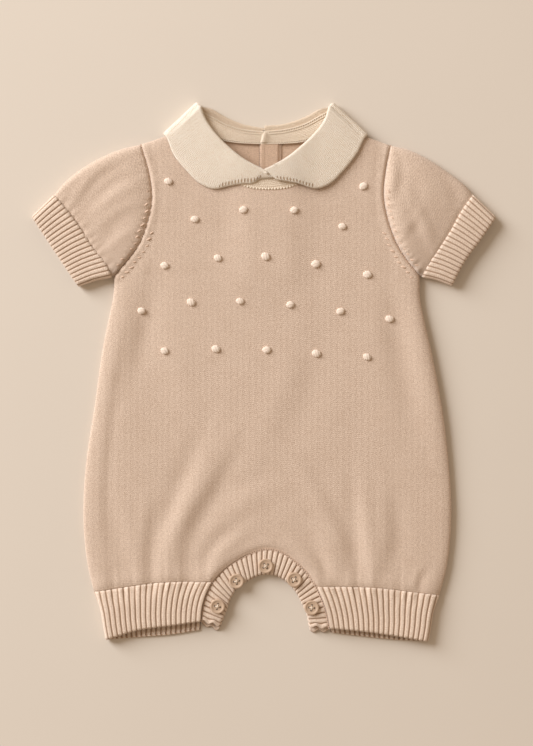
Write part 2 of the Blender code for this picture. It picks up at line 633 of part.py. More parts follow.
def collar_half(side):
    """Half of the round collar: stand, roll and fall, folded over the shoulder, its front end flat."""
    left = side == "left"
    front_rows = np.array(COLLAR_LEFT_FRONT if left else COLLAR_RIGHT_FRONT)
    back_rows = np.array(COLLAR_LEFT_BACK if left else COLLAR_RIGHT_BACK)
    steps_front, steps_back = even(12)[:-1], even(6)[1:]
    roll_front, out_front = dense_curve(front_rows[:, :2]), dense_curve(front_rows[:, 2:])
    roll_back, out_back = dense_curve(back_rows[:, :2]), dense_curve(back_rows[:, 2:])
    axis = np.array([out_front[-1] - roll_front[-1]])[0]
    axis /= np.linalg.norm(axis)
    outward = np.array([-axis[1], axis[0]]) * (-1 if left else 1)
    if outward[1] < 0:
        outward = -outward
    shoulder_top = FRONT_TOP + 0.12 * BACK_RAISE + COLLAR_LIFT + KNIT_WALL
    radius = shoulder_top / 2

    stations = []
    for share in steps_front:
        r = along(roll_front, [share])[0]
        o = along(out_front, [share])[0]
        # the last stations keep clear of the rounded fold at the shoulder
        tuck = smooth(0.75, 1.0, share) * radius
        stations.append((r - outward * tuck, o - outward * tuck, 0.0, 0.0))
    for angle in (0, 36, 72, 108, 144, 180):
        phi = math.radians(angle)
        stations.append((roll_front[-1] - outward * radius, out_front[-1] - outward * radius, phi, 1.0))
    for share in steps_back:
        r = along(roll_back, [share])[0]
        o = along(out_back, [share])[0]
        tuck = smooth(0.3, 0.0, share) * radius
        stations.append((r - outward * tuck, o - outward * tuck, math.pi, 0.0))

    shares = (1.0, 0.74, 0.48, 0.24)
    grid = [[] for _ in range(len(shares) + 7)]
    for index, (r, o, phi, folded) in enumerate(stations):
        across = o - r
        length = np.linalg.norm(across)
        across /= length
        normal = np.array([*(outward * math.sin(phi)), math.cos(phi)])
        direction = np.array([*across, 0.0])

        def fall(distance):
            x, y = r + across * distance
            if folded:
                z = radius + radius * math.cos(phi)
                return np.array([x, y, 0]) + np.array([*(outward * radius * math.sin(phi)), z])
            if phi > 1:
                return np.array([x, y, 0.0])
            near_roll = 0.2 * MM * math.exp(-((distance / (6 * MM)) ** 2))
            over = 0.0
            if not left:
                over = RIGHT_OVER_LEFT * smooth(24 * MM, 9 * MM, x)
            return np.array([x, y, front_top(x, y) + COLLAR_LIFT + KNIT_WALL + near_roll + over])

        half = COLLAR_STACK / 2
        points = [fall(share * length) for share in shares]
        points.append(fall(half + 1.2 * MM))
        start = fall(half)
        centre = start - normal * half
        for turn in (0, 60, 120, 180):
            a = math.radians(turn)
            points.append(centre + normal * half * math.cos(a) - direction * half * math.sin(a))
        points.append(centre - normal * half + direction * 0.9 * MM)
        points.append(centre - normal * half + direction * (STAND_LENGTH - half))
        for row, p in zip(grid, points):
            row.append(tuple(p))
    # the front end is flat cloth, so the roll and the stand stop short of it
    stop = 3
    skip = {(i, j) for i in range(5, len(grid) - 1) for j in range(stop)}
    sheet("collar_" + side, grid, CREAM, KNIT_WALL, flip=left, skip=skip)


def placket():
    """Two button bands that close the back opening, one over the other."""
    top = 178.0 * MM
    gap = SEAM_GAP
    for name, left, right, base, low in (
        ("placket_outer", PLACKET_LEFT + gap, PLACKET_RIGHT - gap, BACK_RAISE, PLACKET_END + gap),
        ("placket_inner", PLACKET_LEFT, PLACKET_INNER_RIGHT, BACK_RAISE + KNIT_WALL + gap,
         PLACKET_END - 4 * MM),
    ):
        grid = []
        for y in np.linspace(low, top, 4):
            grid.append([(x, y, base) for x in np.linspace(left, right, 4)])
        sheet(name, grid, OAT_RIB, KNIT_WALL, flip=True)


def cutter(name, mesh_maker):
    mesh = bpy.data.meshes.new(name)
    mesh_maker(mesh)
    obj = bpy.data.objects.new(name, mesh)
    bpy.data.collections["romper_cutters"].objects.link(obj)
    obj.hide_render = True
    obj.display_type = "WIRE"
    return obj


def round_bodies(mesh, bodies, segments):
    """Fills a mesh with upright cylinders: x, y, z of the middle, radius, height."""
    bm = bmesh.new()
    for x, y, z, radius, height in bodies:
        bmesh.ops.create_cone(bm, cap_ends=True, segments=segments, radius1=radius, radius2=radius,
                              depth=height, matrix=Matrix.Translation((x, y, z)))
    bm.to_mesh(mesh)
    bm.free()


def button_mesh(name, radius, thick):
    """Round button with a dished face and four holes, its middle at the origin."""
    mesh = bpy.data.meshes.new(name)
    round_bodies(mesh, [(0, 0, 0, radius, thick)], 20)
    blank = bpy.data.objects.new(name, mesh)
    parts.objects.link(blank)
    bevel = blank.modifiers.new("Rim", "BEVEL")
    bevel.width = 0.5 * MM
    bevel.segments = 2
    bevel.limit_method = "ANGLE"
    dish = cutter(name + "_dish", lambda m: round_bodies(
        m, [(0, 0, thick / 2 - BUTTON_DISH_DEPTH + 1 * MM, BUTTON_DISH_RADIUS, 2 * MM)], 20))
    off = BUTTON_HOLE_OFFSET
    holes = cutter(name + "_holes", lambda m: round_bodies(
        m, [(x, y, 0, BUTTON_HOLE_RADIUS, 8 * MM) for x in (-off, off) for y in (-off, off)], 8))
    for tool in (dish, holes):
        cut = blank.modifiers.new("Cut", "BOOLEAN")
        cut.operation = "DIFFERENCE"
        cut.solver = "EXACT"
        cut.object = tool
    bpy.context.view_layer.update()
    graph = bpy.context.evaluated_depsgraph_get()
    made = bpy.data.meshes.new_from_object(blank.evaluated_get(graph))
    bpy.data.objects.remove(blank)
    return made


def buttons():
    front = button_mesh("crotch_button", BUTTON_RADIUS, BUTTON_THICK)
    rear = button_mesh("back_button", BACK_BUTTON_RADIUS, BACK_BUTTON_THICK)
    mat = material("button_finish", BUTTON_TAN, 0.45)
    front.materials.append(mat)
    rear.materials.append(mat)
    front_level = BAND_TOP + BAND_CROWN + SEAM_GAP + BUTTON_THICK / 2
    for number, (x, y) in enumerate(CROTCH_BUTTONS, 1):
        obj = bpy.data.objects.new("button_%d" % number, front)
        obj.location = (x * MM, y * MM, front_level)
        obj.rotation_euler = (0, 0, math.radians(24 * number))
        parts.objects.link(obj)
    for number, (x, y) in enumerate(BACK_BUTTONS, 1):
        obj = bpy.data.objects.new("back_button_%d" % number, rear)
        obj.location = (x * MM, y * MM, BACK_BUTTON_THICK / 2)
        obj.rotation_euler = (math.pi, 0, math.radians(30 * number))
        parts.objects.link(obj)


def main():
    global parts
    clear_scene()
    parts = bpy.data.collections.new("baby_romper")
    bpy.context.scene.collection.children.link(parts)
    tools = bpy.data.collections.new("romper_cutters")
    bpy.context.scene.collection.children.link(tools)
    body_panel(back=True)
    body_panel(back=False)
    placket()
    for side, flip in (("left", True), ("right", False)):
        sleeve(side, flip)
        sleeve_cuff(side, flip)
        leg_cuff(side, not flip)
    crotch_band("back")
    crotch_band("front")
    neckband()
    for side in ("left", "right"):
        collar_half(side)
    buttons()


main()
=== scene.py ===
import math

import bmesh
import bpy
import numpy as np
from mathutils import Matrix, Vector, geometry


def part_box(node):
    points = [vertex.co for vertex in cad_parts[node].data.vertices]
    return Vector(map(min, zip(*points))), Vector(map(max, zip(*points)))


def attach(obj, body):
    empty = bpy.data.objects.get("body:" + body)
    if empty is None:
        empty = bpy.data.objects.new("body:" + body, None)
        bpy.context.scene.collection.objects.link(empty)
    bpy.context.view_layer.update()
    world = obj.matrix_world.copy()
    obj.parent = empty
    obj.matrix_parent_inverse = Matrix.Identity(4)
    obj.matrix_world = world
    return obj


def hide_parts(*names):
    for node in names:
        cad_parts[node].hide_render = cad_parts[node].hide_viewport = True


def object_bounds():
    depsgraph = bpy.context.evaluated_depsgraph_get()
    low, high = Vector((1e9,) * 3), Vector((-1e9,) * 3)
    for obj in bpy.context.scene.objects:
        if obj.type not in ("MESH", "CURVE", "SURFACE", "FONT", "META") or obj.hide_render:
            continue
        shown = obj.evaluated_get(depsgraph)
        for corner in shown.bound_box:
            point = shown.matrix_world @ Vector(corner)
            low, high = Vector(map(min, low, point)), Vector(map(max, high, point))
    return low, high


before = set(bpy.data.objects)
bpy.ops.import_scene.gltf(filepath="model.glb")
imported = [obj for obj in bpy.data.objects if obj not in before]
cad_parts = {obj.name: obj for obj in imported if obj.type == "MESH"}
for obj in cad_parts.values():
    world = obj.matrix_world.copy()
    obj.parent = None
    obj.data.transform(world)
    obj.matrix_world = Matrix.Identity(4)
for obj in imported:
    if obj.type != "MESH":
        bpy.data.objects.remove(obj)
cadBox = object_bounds()
mm = 0.001
sides = ("Left", "Right")
chance = np.random.default_rng(11)

# the garment's own middle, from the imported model
middleX = (cadBox[0][0] + cadBox[1][0]) / 2
middleY = (cadBox[0][1] + cadBox[1][1]) / 2
print("frame loaded", [round((cadBox[1][k] - cadBox[0][k]) / mm) for k in (0, 1)])


# smooth curve through points given in millimetres, as a fine polyline in metres
def smoothCurve(points, steps=16):
    pts = np.array(points, dtype=float) * mm + (middleX, middleY)
    knots = np.concatenate([[0], np.cumsum(np.linalg.norm(np.diff(pts, axis=0), axis=1) ** 0.5)])
    slopes = np.gradient(pts, knots, axis=0)
    t = np.linspace(0, 1, steps, endpoint=False)[:, None]
    line = []
    for i in range(len(pts) - 1):
        span = knots[i + 1] - knots[i]
        line.append((2 * t ** 3 - 3 * t ** 2 + 1) * pts[i] + (t ** 3 - 2 * t ** 2 + t) * span * slopes[i]
                    + (3 * t ** 2 - 2 * t ** 3) * pts[i + 1] + (t ** 3 - t ** 2) * span * slopes[i + 1])
    return np.vstack(line + [pts[-1:]])


# length from a polyline's start to each of its points
def lengthAlong(line):
    return np.concatenate([[0], np.cumsum(np.linalg.norm(np.diff(line, axis=0), axis=1))])


# points at given shares of a polyline's length
def along(line, shares):
    lengths = lengthAlong(line)
    where = np.asarray(shares) * lengths[-1]
    return np.stack([np.interp(where, lengths, line[:, k]) for k in range(line.shape[1])], axis=1)


def even(count):
    return np.linspace(0, 1, count)


# distance of many points from a polyline and the share of its length where each is nearest
def nearLine(line, x, y):
    best = np.full(np.shape(x), 1e9)
    share = np.zeros(np.shape(x))
    lengths = lengthAlong(line)
    for i in range(len(line) - 1):
        ax, ay = line[i]
        dx, dy = line[i + 1] - line[i]
        size = dx * dx + dy * dy
        t = np.clip(((x - ax) * dx + (y - ay) * dy) / size, 0, 1)
        gap = np.hypot(x - ax - dx * t, y - ay - dy * t)
        closer = gap < best
        best = np.where(closer, gap, best)
        share = np.where(closer, (lengths[i] + t * math.sqrt(size)) / lengths[-1], share)
    return best, share


# soft step from 0 at low to 1 at high
def softStep(low, high, value):
    t = np.clip((value - low) / (high - low), 0, 1)
    return t * t * (3 - 2 * t)


# quarter-round rise from 0 at an edge to 1 at the given width
def roundOver(gap, width):
    t = 1 - np.clip(gap / width, 0, 1)
    return np.sqrt(np.maximum(0, 1 - t * t))


# rounded hump of height 1; half width and place in millimetres
def hump(gap, width, place=0):
    return np.exp(-((gap - place * mm) / (width * mm)) ** 2)


# ridges and grooves beside a seam: height, half width and place in millimetres
def seamRelief(humps, gap):
    return sum(height * mm * hump(gap, width, place) for height, width, place in humps)


# uneven waves along a seam
def gathers(share, count, drift, pace):
    return np.sin(share * 2 * math.pi * count + drift * np.sin(share * pace))


# slow uneven swell between about -1 and 1, the same on every run
def swell(x, y, size, seed):
    draw = np.random.default_rng(seed)
    total = np.zeros(np.shape(x))
    for _ in range(7):
        turn, phase = draw.uniform(0, 2 * math.pi, 2)
        reach = size * draw.uniform(0.7, 1.6)
        total = total + np.sin((x * math.cos(turn) + y * math.sin(turn)) * 2 * math.pi / reach + phase)
    return total / 4.2


# peak brings a flank to its height, look is the step along a line that gives its direction
crease = {"strength": 0.95, "peak": 2.33, "look": 0.01, "fromWindow": (0.53, 0.85)}


# signed distance from a line, positive on the side away from the window, and the share of its length
def sideOf(line, x, y):
    gap, share = nearLine(line, x, y)
    facing = -1 if (line[-1] - line[0]) @ crease["fromWindow"] > 0 else 1
    at, ahead, behind = (along(line, np.clip(share.ravel() + step, 0, 1)).reshape(*np.shape(x), 2)
                         for step in (0, crease["look"], -crease["look"]))
    way = ahead - behind
    turn = way[..., 0] * (y - at[..., 1]) - way[..., 1] * (x - at[..., 0])
    return gap * np.sign(turn) * facing, share


# creases from a given list: each is a flank that rises away from the window, or falls where its height is
# negative
def creaseField(creases, x, y):
    z = np.zeros(np.shape(x))
    for height, width, points in creases:
        away, share = sideOf(smoothCurve(points, 6), x, y)
        t = away / (width * mm)
        fade = np.sin(math.pi * np.clip(0.06 + 0.90 * share, 0, 1)) ** 0.8
        z = z + crease["strength"] * height * mm * crease["peak"] * t * np.exp(-t * t) * fade
    return z


# the seam lines shared by the pieces, millimetres from the garment's middle
seamLines = {
    "sideLeft": [(-116.3, 75.0), (-117.2, 60), (-125, 21), (-132, -27.5), (-138.4, -71), (-140.6, -112),
                 (-137.6, -148), (-132.4, -171)],
    "sideRight": [(121.2, 75.0), (121.4, 58), (131.6, 10), (139.4, -33), (144.8, -83), (145.8, -115),
                  (142.6, -150), (136.6, -173.5)],
    "armholeLeft": [(-95.8, 177.0), (-89.7, 157), (-87.0, 136), (-89.7, 119.5), (-96.7, 100), (-107, 85.8),
                    (-116.3, 75.0)],
    "armholeRight": [(98.6, 176.2), (95.0, 158), (93.1, 138), (96.4, 118.5), (103.6, 99), (113.2, 84.2),
                     (121.2, 75.0)],
    "shoulderLeft": [(-95.8, 177.0), (-79, 182.5), (-56, 190.5)],
    "shoulderRight": [(98.6, 176.2), (81.4, 182.2), (57, 190.5)],
    "neckFront": [(-56, 190.5), (-46, 172), (-31, 153.5), (-14, 144.2), (4.5, 142.2), (22, 144.6), (37, 155),
                  (49, 172), (57, 190.5)],
    "neckBackLeft": [(-56, 190.5), (-42, 184.4), (-24, 180), (-3.4, 178.2)],
    "neckBackRight": [(57, 190.5), (43, 184.4), (28, 180), (11.4, 178.4)],
    "sleeveTopLeft": [(-95.8, 177.0), (-111, 173.3), (-126, 167.2), (-143.5, 157), (-156, 146.6),
                      (-163, 138)],
    "sleeveTopRight": [(98.6, 176.2), (111.4, 173.3), (126, 166.4), (142, 156), (155.5, 145.8),
                       (162.4, 138.2)],
    "cuffSeamLeft": [(-163, 138), (-154.4, 128), (-143, 113), (-133, 97.4), (-122, 83.4), (-117.2, 76.8)],
    "cuffSeamRight": [(162.4, 138.2), (153, 124.6), (144.4, 109), (135, 94.4), (127, 82.6), (122.0, 77.0)],
    "cuffOpenLeft": [(-180.6, 120.6), (-171, 106), (-159, 88), (-151, 76), (-144.3, 66.3)],
    "cuffOpenRight": [(180.6, 120.2), (168.5, 102.6), (159, 90), (152.6, 79.4), (146.2, 66.9)],
    "legSeamLeft": [(-39.9, -163.4), (-60, -162.9), (-84, -164.0), (-110, -167.6), (-132.4, -171)],
    "legSeamRight": [(40.5, -167.0), (62, -166.9), (88, -167.8), (114, -170.8), (136.6, -173.5)],
    "archLeft": [(-39.9, -163.4), (-45.4, -174.6), (-47.9, -184), (-48.8, -194)],
    "archRight": [(40.5, -167.0), (44.6, -176), (48.4, -187), (50.9, -199.6)],
    "archTop": [(-39.9, -163.4), (-33, -155.2), (-23, -147.7), (-12, -141.6), (2, -137.6), (13.9, -140.3),
                (24, -147.4), (33.6, -156.8), (40.5, -167.0)],
    "legSideLeft": [(-132.4, -171), (-127.6, -184), (-125.0, -198), (-123.2, -208.6)],
    "legSideRight": [(136.6, -173.5), (132.0, -185), (129.6, -199), (127.6, -209.8)],
    "hemFrontLeft": [(-48.8, -194.6), (-71, -197.7), (-98, -201.2), (-123.2, -208.6)],
    "hemFrontRight": [(50.9, -200.2), (76, -202.2), (102, -205.6), (127.6, -209.8)],
    "hemBackLeft": [(-49.4, -201.0), (-72, -204.6), (-98, -206.6), (-123.2, -208.6)],
    "hemBackRight": [(51.6, -203.0), (72, -205.4), (100, -208.4), (127.6, -209.8)],
}
lines = {name: smoothCurve(points) for name, points in seamLines.items()}


def addObject(name, data):
    obj = bpy.data.objects.new(name, data)
    bpy.context.scene.collection.objects.link(obj)
    return obj


def addMesh(name, verts, faces, plan=None):
    mesh = bpy.data.meshes.new(name)
    mesh.from_pydata([tuple(v) for v in verts], [], faces)
    if plan is not None:
        index = np.zeros(len(mesh.loops), dtype=np.int32)
        mesh.loops.foreach_get("vertex_index", index)
        layer = mesh.uv_layers.new(name="cloth")
        layer.data.foreach_set("uv", plan[index].astype(np.float32).ravel())
    mesh.update()
    mesh.shade_smooth()
    return addObject(name, mesh)


def giveWall(obj, wall):
    solid = obj.modifiers.new("wall", "SOLIDIFY")
    solid.thickness = wall
    solid.offset = -1
    return obj


# cloth from rows and columns of points, with its plan of the knitting in metres
def gridCloth(name, points, plan, wall, wrap=False, flip=False, skipFace=None):
    rows, cols = points.shape[:2]
    faces = []
    for i in range(rows - 1):
        for j in range(cols - 1):
            if skipFace and skipFace(i, j):
                continue
            k = i * cols + j
            quad = (k, k + 1, k + cols + 1, k + cols)
            faces.append(quad[::-1] if flip else quad)
    used, faces = np.unique(np.array(faces), return_inverse=True)
    faces = faces.reshape(-1, 4).tolist()
    obj = addMesh(name, points.reshape(-1, 3)[used], faces, plan.reshape(-1, 2)[used])
    if wrap:
        bm = bmesh.new()
        bm.from_mesh(obj.data)
        bmesh.ops.remove_doubles(bm, verts=bm.verts, dist=0.004 * mm)
        bm.to_mesh(obj.data)
        bm.free()
    return giveWall(obj, wall)


# plan of the knitting from places along the rows and down the columns
def planOf(u, v):
    return np.stack(np.broadcast_arrays(u, v), axis=2)


def tubePlan(points, width):
    cols = points.shape[1]
    return planOf(np.linspace(0, width, cols), lengthAlong(points[:, cols // 4])[:, None])


# plan points filling four edges, with the share across each row
def coons(start, end, near, far, rowShares, shares):
    a, b = along(start, shares), along(end, shares)
    u = rowShares[:, None, None]
    v = shares[None, :, None]
    p, q = along(near, rowShares)[:, None], along(far, rowShares)[:, None]
    corners = (1 - u) * ((1 - v) * a[0] + v * a[-1]) + u * ((1 - v) * b[0] + v * b[-1])
    return (1 - u) * a[None] + u * b[None] + (1 - v) * p + v * q - corners


# rows of points spread evenly along each row's length
def respread(rows, count):
    return np.array([along(row, even(count)) for row in rows])


# mean length of the rows
def girth(rows):
    return np.mean([lengthAlong(row)[-1] for row in rows])


# one mesh from many small shapes
def joined(name, shapes):
    verts, faces = [], []
    for points, shapeFaces in shapes:
        faces += [tuple(k + len(verts) for k in face) for face in shapeFaces]
        verts += list(points)
    return addMesh(name, verts, faces)


# one mesh from many copies of a small shape, each under its own matrix
def scatter(name, shape, places):
    return joined(name, [(shape[0] @ place[:3, :3].T + place[:3, 3], shape[1]) for place in places])


def ball(cuts):
    bm = bmesh.new()
    bmesh.ops.create_icosphere(bm, subdivisions=cuts, radius=1)
    verts = np.array([tuple(v.co) for v in bm.verts])
    faces = [tuple(v.index for v in f.verts) for f in bm.faces]
    bm.free()
    return verts, faces


# closed loop of thread, length 1 along x, for chain stitches
def threadLink(slim=0.36, thick=0.14, around=10, ring=5):
    verts, faces = [], []
    for i in range(around):
        a = 2 * math.pi * i / around
        centre = np.array([0.5 * math.cos(a), slim * math.sin(a), 0])
        out = np.array([math.cos(a), math.sin(a), 0])
        for j in range(ring):
            b = 2 * math.pi * j / ring
            verts.append(centre + thick * (out * math.cos(b) + np.array([0, 0, math.sin(b)])))
            k, m = (i + 1) % around, (j + 1) % ring
            faces.append((i * ring + j, k * ring + j, k * ring + m, i * ring + m))
    return np.array(verts), faces


# matrix that puts a shape at a point, x along the tangent, z up
def stand(point, tangent, sizes):
    t = np.array(tangent) / np.linalg.norm(tangent)
    n = np.array([0, 0, 1]) - t * t[2]
    n /= np.linalg.norm(n)
    m = np.eye(4)
    m[:3, :3] = np.column_stack([t, np.cross(n, t), n]) * sizes
    m[:3, 3] = point
    return m


# maths of two values as a Wire's method; swapped for the reflected form
def pairMaths(operation, swapped=False):
    def method(self, other):
        values = (other, self) if swapped else (self, other)
        return self.finish.node("ShaderNodeMath", {"operation": operation}, dict(enumerate(values)))
    return method


def soloMaths(operation):
    def method(self):
        return self.finish.node("ShaderNodeMath", {"operation": operation}, {0: self})
    return method


# an output socket that can be added to, multiplied and so on as a number
class Wire:
    def __init__(self, finish, node, output=0):
        self.finish = finish
        self.node = node
        self.socket = node.outputs[output]

    # another output of the same node
    def out(self, output):
        return Wire(self.finish, self.node, output)

    __add__ = pairMaths("ADD")
    __radd__ = pairMaths("ADD", True)
    __sub__ = pairMaths("SUBTRACT")
    __rsub__ = pairMaths("SUBTRACT", True)
    __mul__ = pairMaths("MULTIPLY")
    __rmul__ = pairMaths("MULTIPLY", True)
    __truediv__ = pairMaths("DIVIDE")
    __rtruediv__ = pairMaths("DIVIDE", True)
    __pow__ = pairMaths("POWER")
    __rpow__ = pairMaths("POWER", True)
    __gt__ = pairMaths("GREATER_THAN")
    __lt__ = pairMaths("LESS_THAN")
    atMost = pairMaths("MINIMUM")
    atLeast = pairMaths("MAXIMUM")
    sin = soloMaths("SINE")
    size = soloMaths("ABSOLUTE")
    part = soloMaths("FRACT")
    whole = soloMaths("FLOOR")


class Finish:
    def __init__(self, name, roughness, sheen=0.0, specular=0.35):
        self.material = bpy.data.materials.new(name)
        self.material.use_nodes = True
        self.tree = self.material.node_tree
        self.shader = self.tree.nodes["Principled BSDF"]
        self.fill(self.shader, {"Roughness": roughness, "Specular IOR Level": specular, "Sheen Weight": sheen,
                                "Sheen Roughness": 0.6})

    def fill(self, node, values):
        for key, value in values.items():
            if isinstance(value, Wire):
                self.tree.links.new(value.socket, node.inputs[key])
            else:
                node.inputs[key].default_value = value

    def node(self, kind, settings=None, values=None):
        made = self.tree.nodes.new(kind)
        for key, value in (settings or {}).items():
            setattr(made, key, value)
        self.fill(made, values or {})
        return Wire(self, made)

    # colours a and b mixed, or a darkened by b where the way is MULTIPLY
    def mix(self, share, a, b, way="MIX"):
        a, b = (colour if isinstance(colour, Wire) else (*colour, 1) for colour in (a, b))
        settings = {"data_type": "RGBA", "blend_type": way}
        return self.node("ShaderNodeMix", settings, {0: share, 6: a, 7: b}).out(2)

    def noise(self, scale, detail=2.0, where=None):
        where = where or self.node("ShaderNodeTexCoord").out("Object")
        return self.node("ShaderNodeTexNoise", {}, {"Scale": scale, "Detail": detail, "Vector": where})

    def feed(self, colour, height, depth, roughness=None):
        bump = self.node("ShaderNodeBump", {}, {"Strength": 1.0, "Distance": depth, "Height": height})
        self.fill(self.shader, {"Base Color": colour, "Normal": bump})
        if roughness:
            self.fill(self.shader, {"Roughness": roughness})
        return self.material


def within(value, low, high):
    return value.atLeast(low).atMost(high)


# the yarns: light, base and deep colours (linear); the knitted finishes use light and deep for painted
# highlight and painted shade on the stitches
yarn = {
    "oat": {"light": (0.87, 0.69, 0.545), "base": (0.68, 0.53, 0.412), "deep": (0.54, 0.385, 0.28)},
    "oatRib": {"light": (0.98, 0.83, 0.69), "base": (0.88, 0.71, 0.565), "deep": (0.63, 0.46, 0.34)},
    # darker inside of the knit: partly its own tone, partly painted shade inside the neck
    "oatInsideShade": {"light": (0.78, 0.575, 0.42), "base": (0.64, 0.455, 0.325), "deep": (0.48, 0.32, 0.215)},
    "oatLink": {"light": (0.84, 0.64, 0.49), "deep": (0.64, 0.45, 0.33)},
    "cream": {"light": (1.0, 0.93, 0.815), "base": (0.95, 0.85, 0.715), "deep": (0.76, 0.60, 0.42)},
    # darker cream of the collar's stand: mostly painted shade, partly the inside's own tone
    "creamInsideShade": {"light": (0.86, 0.72, 0.56), "base": (0.76, 0.615, 0.45), "deep": (0.60, 0.43, 0.28)},
    # the neckband's cream, darker than the collar's: painted shade under the collar
    "creamBandShade": {"light": (0.93, 0.81, 0.66), "base": (0.84, 0.71, 0.55), "deep": (0.68, 0.51, 0.35)},
    "bobble": {"light": (0.92, 0.80, 0.68), "deep": (0.82, 0.67, 0.545)},
}

# stocking stitch: spacing of its columns and rows, depth of the relief; scales of the noises that make it
# uneven; colours that darken it: random patches, painted shade in rib grooves and painted shade in eyelet
# holes
stitch = {
    "column": 1.85 * mm, "row": 1.5 * mm, "depth": 0.24 * mm,
    "roughness": 0.92, "sheen": 0.36, "specular": 0.15,
    "wobble": 420, "fuzz": 2000, "grain": 950, "patch": 70, "streakWide": 1050, "streakLong": 330,
    "patchShade": (0.90, 0.87, 0.84), "groovePaintedShade": (0.50, 0.385, 0.295), "slotPaintedShade": (0.60, 0.46, 0.33),
}
creamStitch = {
    "column": 2.1 * mm, "row": 1.6 * mm, "depth": 0.36 * mm, "turned": True, "rough": 1.5, "contrast": 1.5,
}


# V-shaped stitches in columns, whose relief is also painted into the colour as highlight and shade; rib is
# the spacing of ribs, whose grooves get painted shade; slots are the holes of a row of loops, painted as
# shade
def knitFinish(name, colours, column=stitch["column"], row=stitch["row"], depth=stitch["depth"], rib=0.0,
               slots=None, turned=False, rough=1.0, contrast=0.7):
    f = Finish(name, stitch["roughness"], stitch["sheen"], stitch["specular"])
    uv = f.node("ShaderNodeUVMap", {"uv_map": "cloth"})
    split = f.node("ShaderNodeSeparateXYZ", {}, {0: uv})
    wide, deep = split.out(0), split.out(1)
    u, v = (deep, wide) if turned else (wide, deep)
    wobble = (f.noise(stitch["wobble"], 2, uv) - 0.5) * 0.16
    columns = u / column + wobble
    inColumn = (columns.part() - 0.5).size()
    ownPhase = f.node("ShaderNodeTexWhiteNoise", {"noise_dimensions": "1D"}, {"W": columns.whole()})
    rows = v / row + inColumn * 1.15 + wobble + ownPhase
    leg = (rows * 2 * math.pi).sin() * 0.5 + 0.5
    shape = (inColumn * 2 * math.pi).sin().atLeast(0.0) ** 0.6 * (leg * 0.55 + 0.45)
    stretched = {0: u * stitch["streakWide"], 1: v * stitch["streakLong"]}
    streak = f.noise(1, 2, f.node("ShaderNodeCombineXYZ", {}, stretched)) - 0.5
    fuzz = f.noise(stitch["fuzz"], 3, uv) - 0.5
    grain = f.noise(stitch["grain"], 2, uv) - 0.5
    patch = f.noise(stitch["patch"], 3, uv)
    # colour follows the stitch shape: painted shade between the stitch legs and painted highlight on them,
    # with random tone from the noises
    tone = (shape - 0.45) * contrast + (streak * 0.6 + fuzz * 1.8 + grain * 1.5) * rough + 0.5
    tone = within(tone, 0.0, 1.0)
    colour = f.mix((tone * 2).atMost(1.0), colours["deep"], colours["base"])
    colour = f.mix((tone * 2 - 1).atLeast(0.0), colour, colours["light"])
    colour = f.mix((0.56 - patch).atLeast(0.0) * 1.2, colour, stitch["patchShade"], "MULTIPLY")
    height = shape + fuzz * 0.8 + grain * 1.1 + streak * 0.3
    if rib:
        # painted shade darkens the rib grooves
        groove = ((u / rib).part() - 0.5).size() * 2
        colour = f.mix(within((groove - 0.54) / 0.40, 0.0, 1.0), colour, stitch["groovePaintedShade"], "MULTIPLY")
    if slots:
        # painted shade fills the holes of the row of loops, which are not cut
        inSlot = ((wide - deep * slots["lean"]) / slots["pitch"]).part() - 0.5
        off = (deep - slots["from"]).size() / slots["half"]
        mask = within((1 - inSlot.size() / (slots["share"] * 0.5) - off * off * 0.4) / 0.35, 0.0, 1.0)
        mask = mask * ((wide > slots["start"]) * (wide < slots["stop"]))
        colour = f.mix(mask, colour, stitch["slotPaintedShade"], "MULTIPLY")
        height = height - mask * 2.2
    return f.feed(colour, height, depth)


def threadFinish(name, colours):
    f = Finish(name, 0.85, sheen=0.3, specular=0.2)
    colour = f.mix(f.noise(1800), colours["deep"], colours["light"])
    return f.feed(colour, f.noise(3200), 0.12 * mm)


def buttonFinish(name, base, light):
    f = Finish(name, 0.38, specular=0.45)
    fine = f.noise(1500)
    colour = f.mix(f.noise(260, 3) * 0.7 + fine * 0.3, base, light)
    return f.feed(colour, fine, 0.03 * mm, roughness=fine * 0.2 + 0.3)


bodyKnit = knitFinish("oatKnit", yarn["oat"])
insideShadeKnit = knitFinish("oatKnitInsideShade", yarn["oatInsideShade"])
legRibKnit = knitFinish("oatLegRib", yarn["oatRib"], column=1.4 * mm, rib=4.2 * mm)
cuffRibKnit = knitFinish("oatCuffRib", yarn["oatRib"], column=1.2 * mm, rib=3.6 * mm)
bandRibKnit = knitFinish("oatBandRib", yarn["oatRib"], column=1.2 * mm, rib=3.7 * mm)
creamBandShadeKnit = knitFinish("creamBandShade", yarn["creamBandShade"], column=2.1 * mm, depth=0.34 * mm, turned=True)
creamInsideShadeKnit = knitFinish("creamInsideShade", yarn["creamInsideShade"], **creamStitch)
creamThread = threadFinish("creamThread", yarn["cream"])
bobbleYarn = threadFinish("bobbleYarn", yarn["bobble"])
oatThread = threadFinish("oatThread", yarn["oatLink"])
buttonTan = buttonFinish("buttonTan", (0.50, 0.36, 0.25), (0.68, 0.51, 0.37))
print("finishes")


# gives a piece its finish, ties it to the body and hides the solid that it stands for
def settle(obj, finish, node=None):
    obj.data.materials.append(finish)
    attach(obj, "root")
    if node:
        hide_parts(node)
    return obj


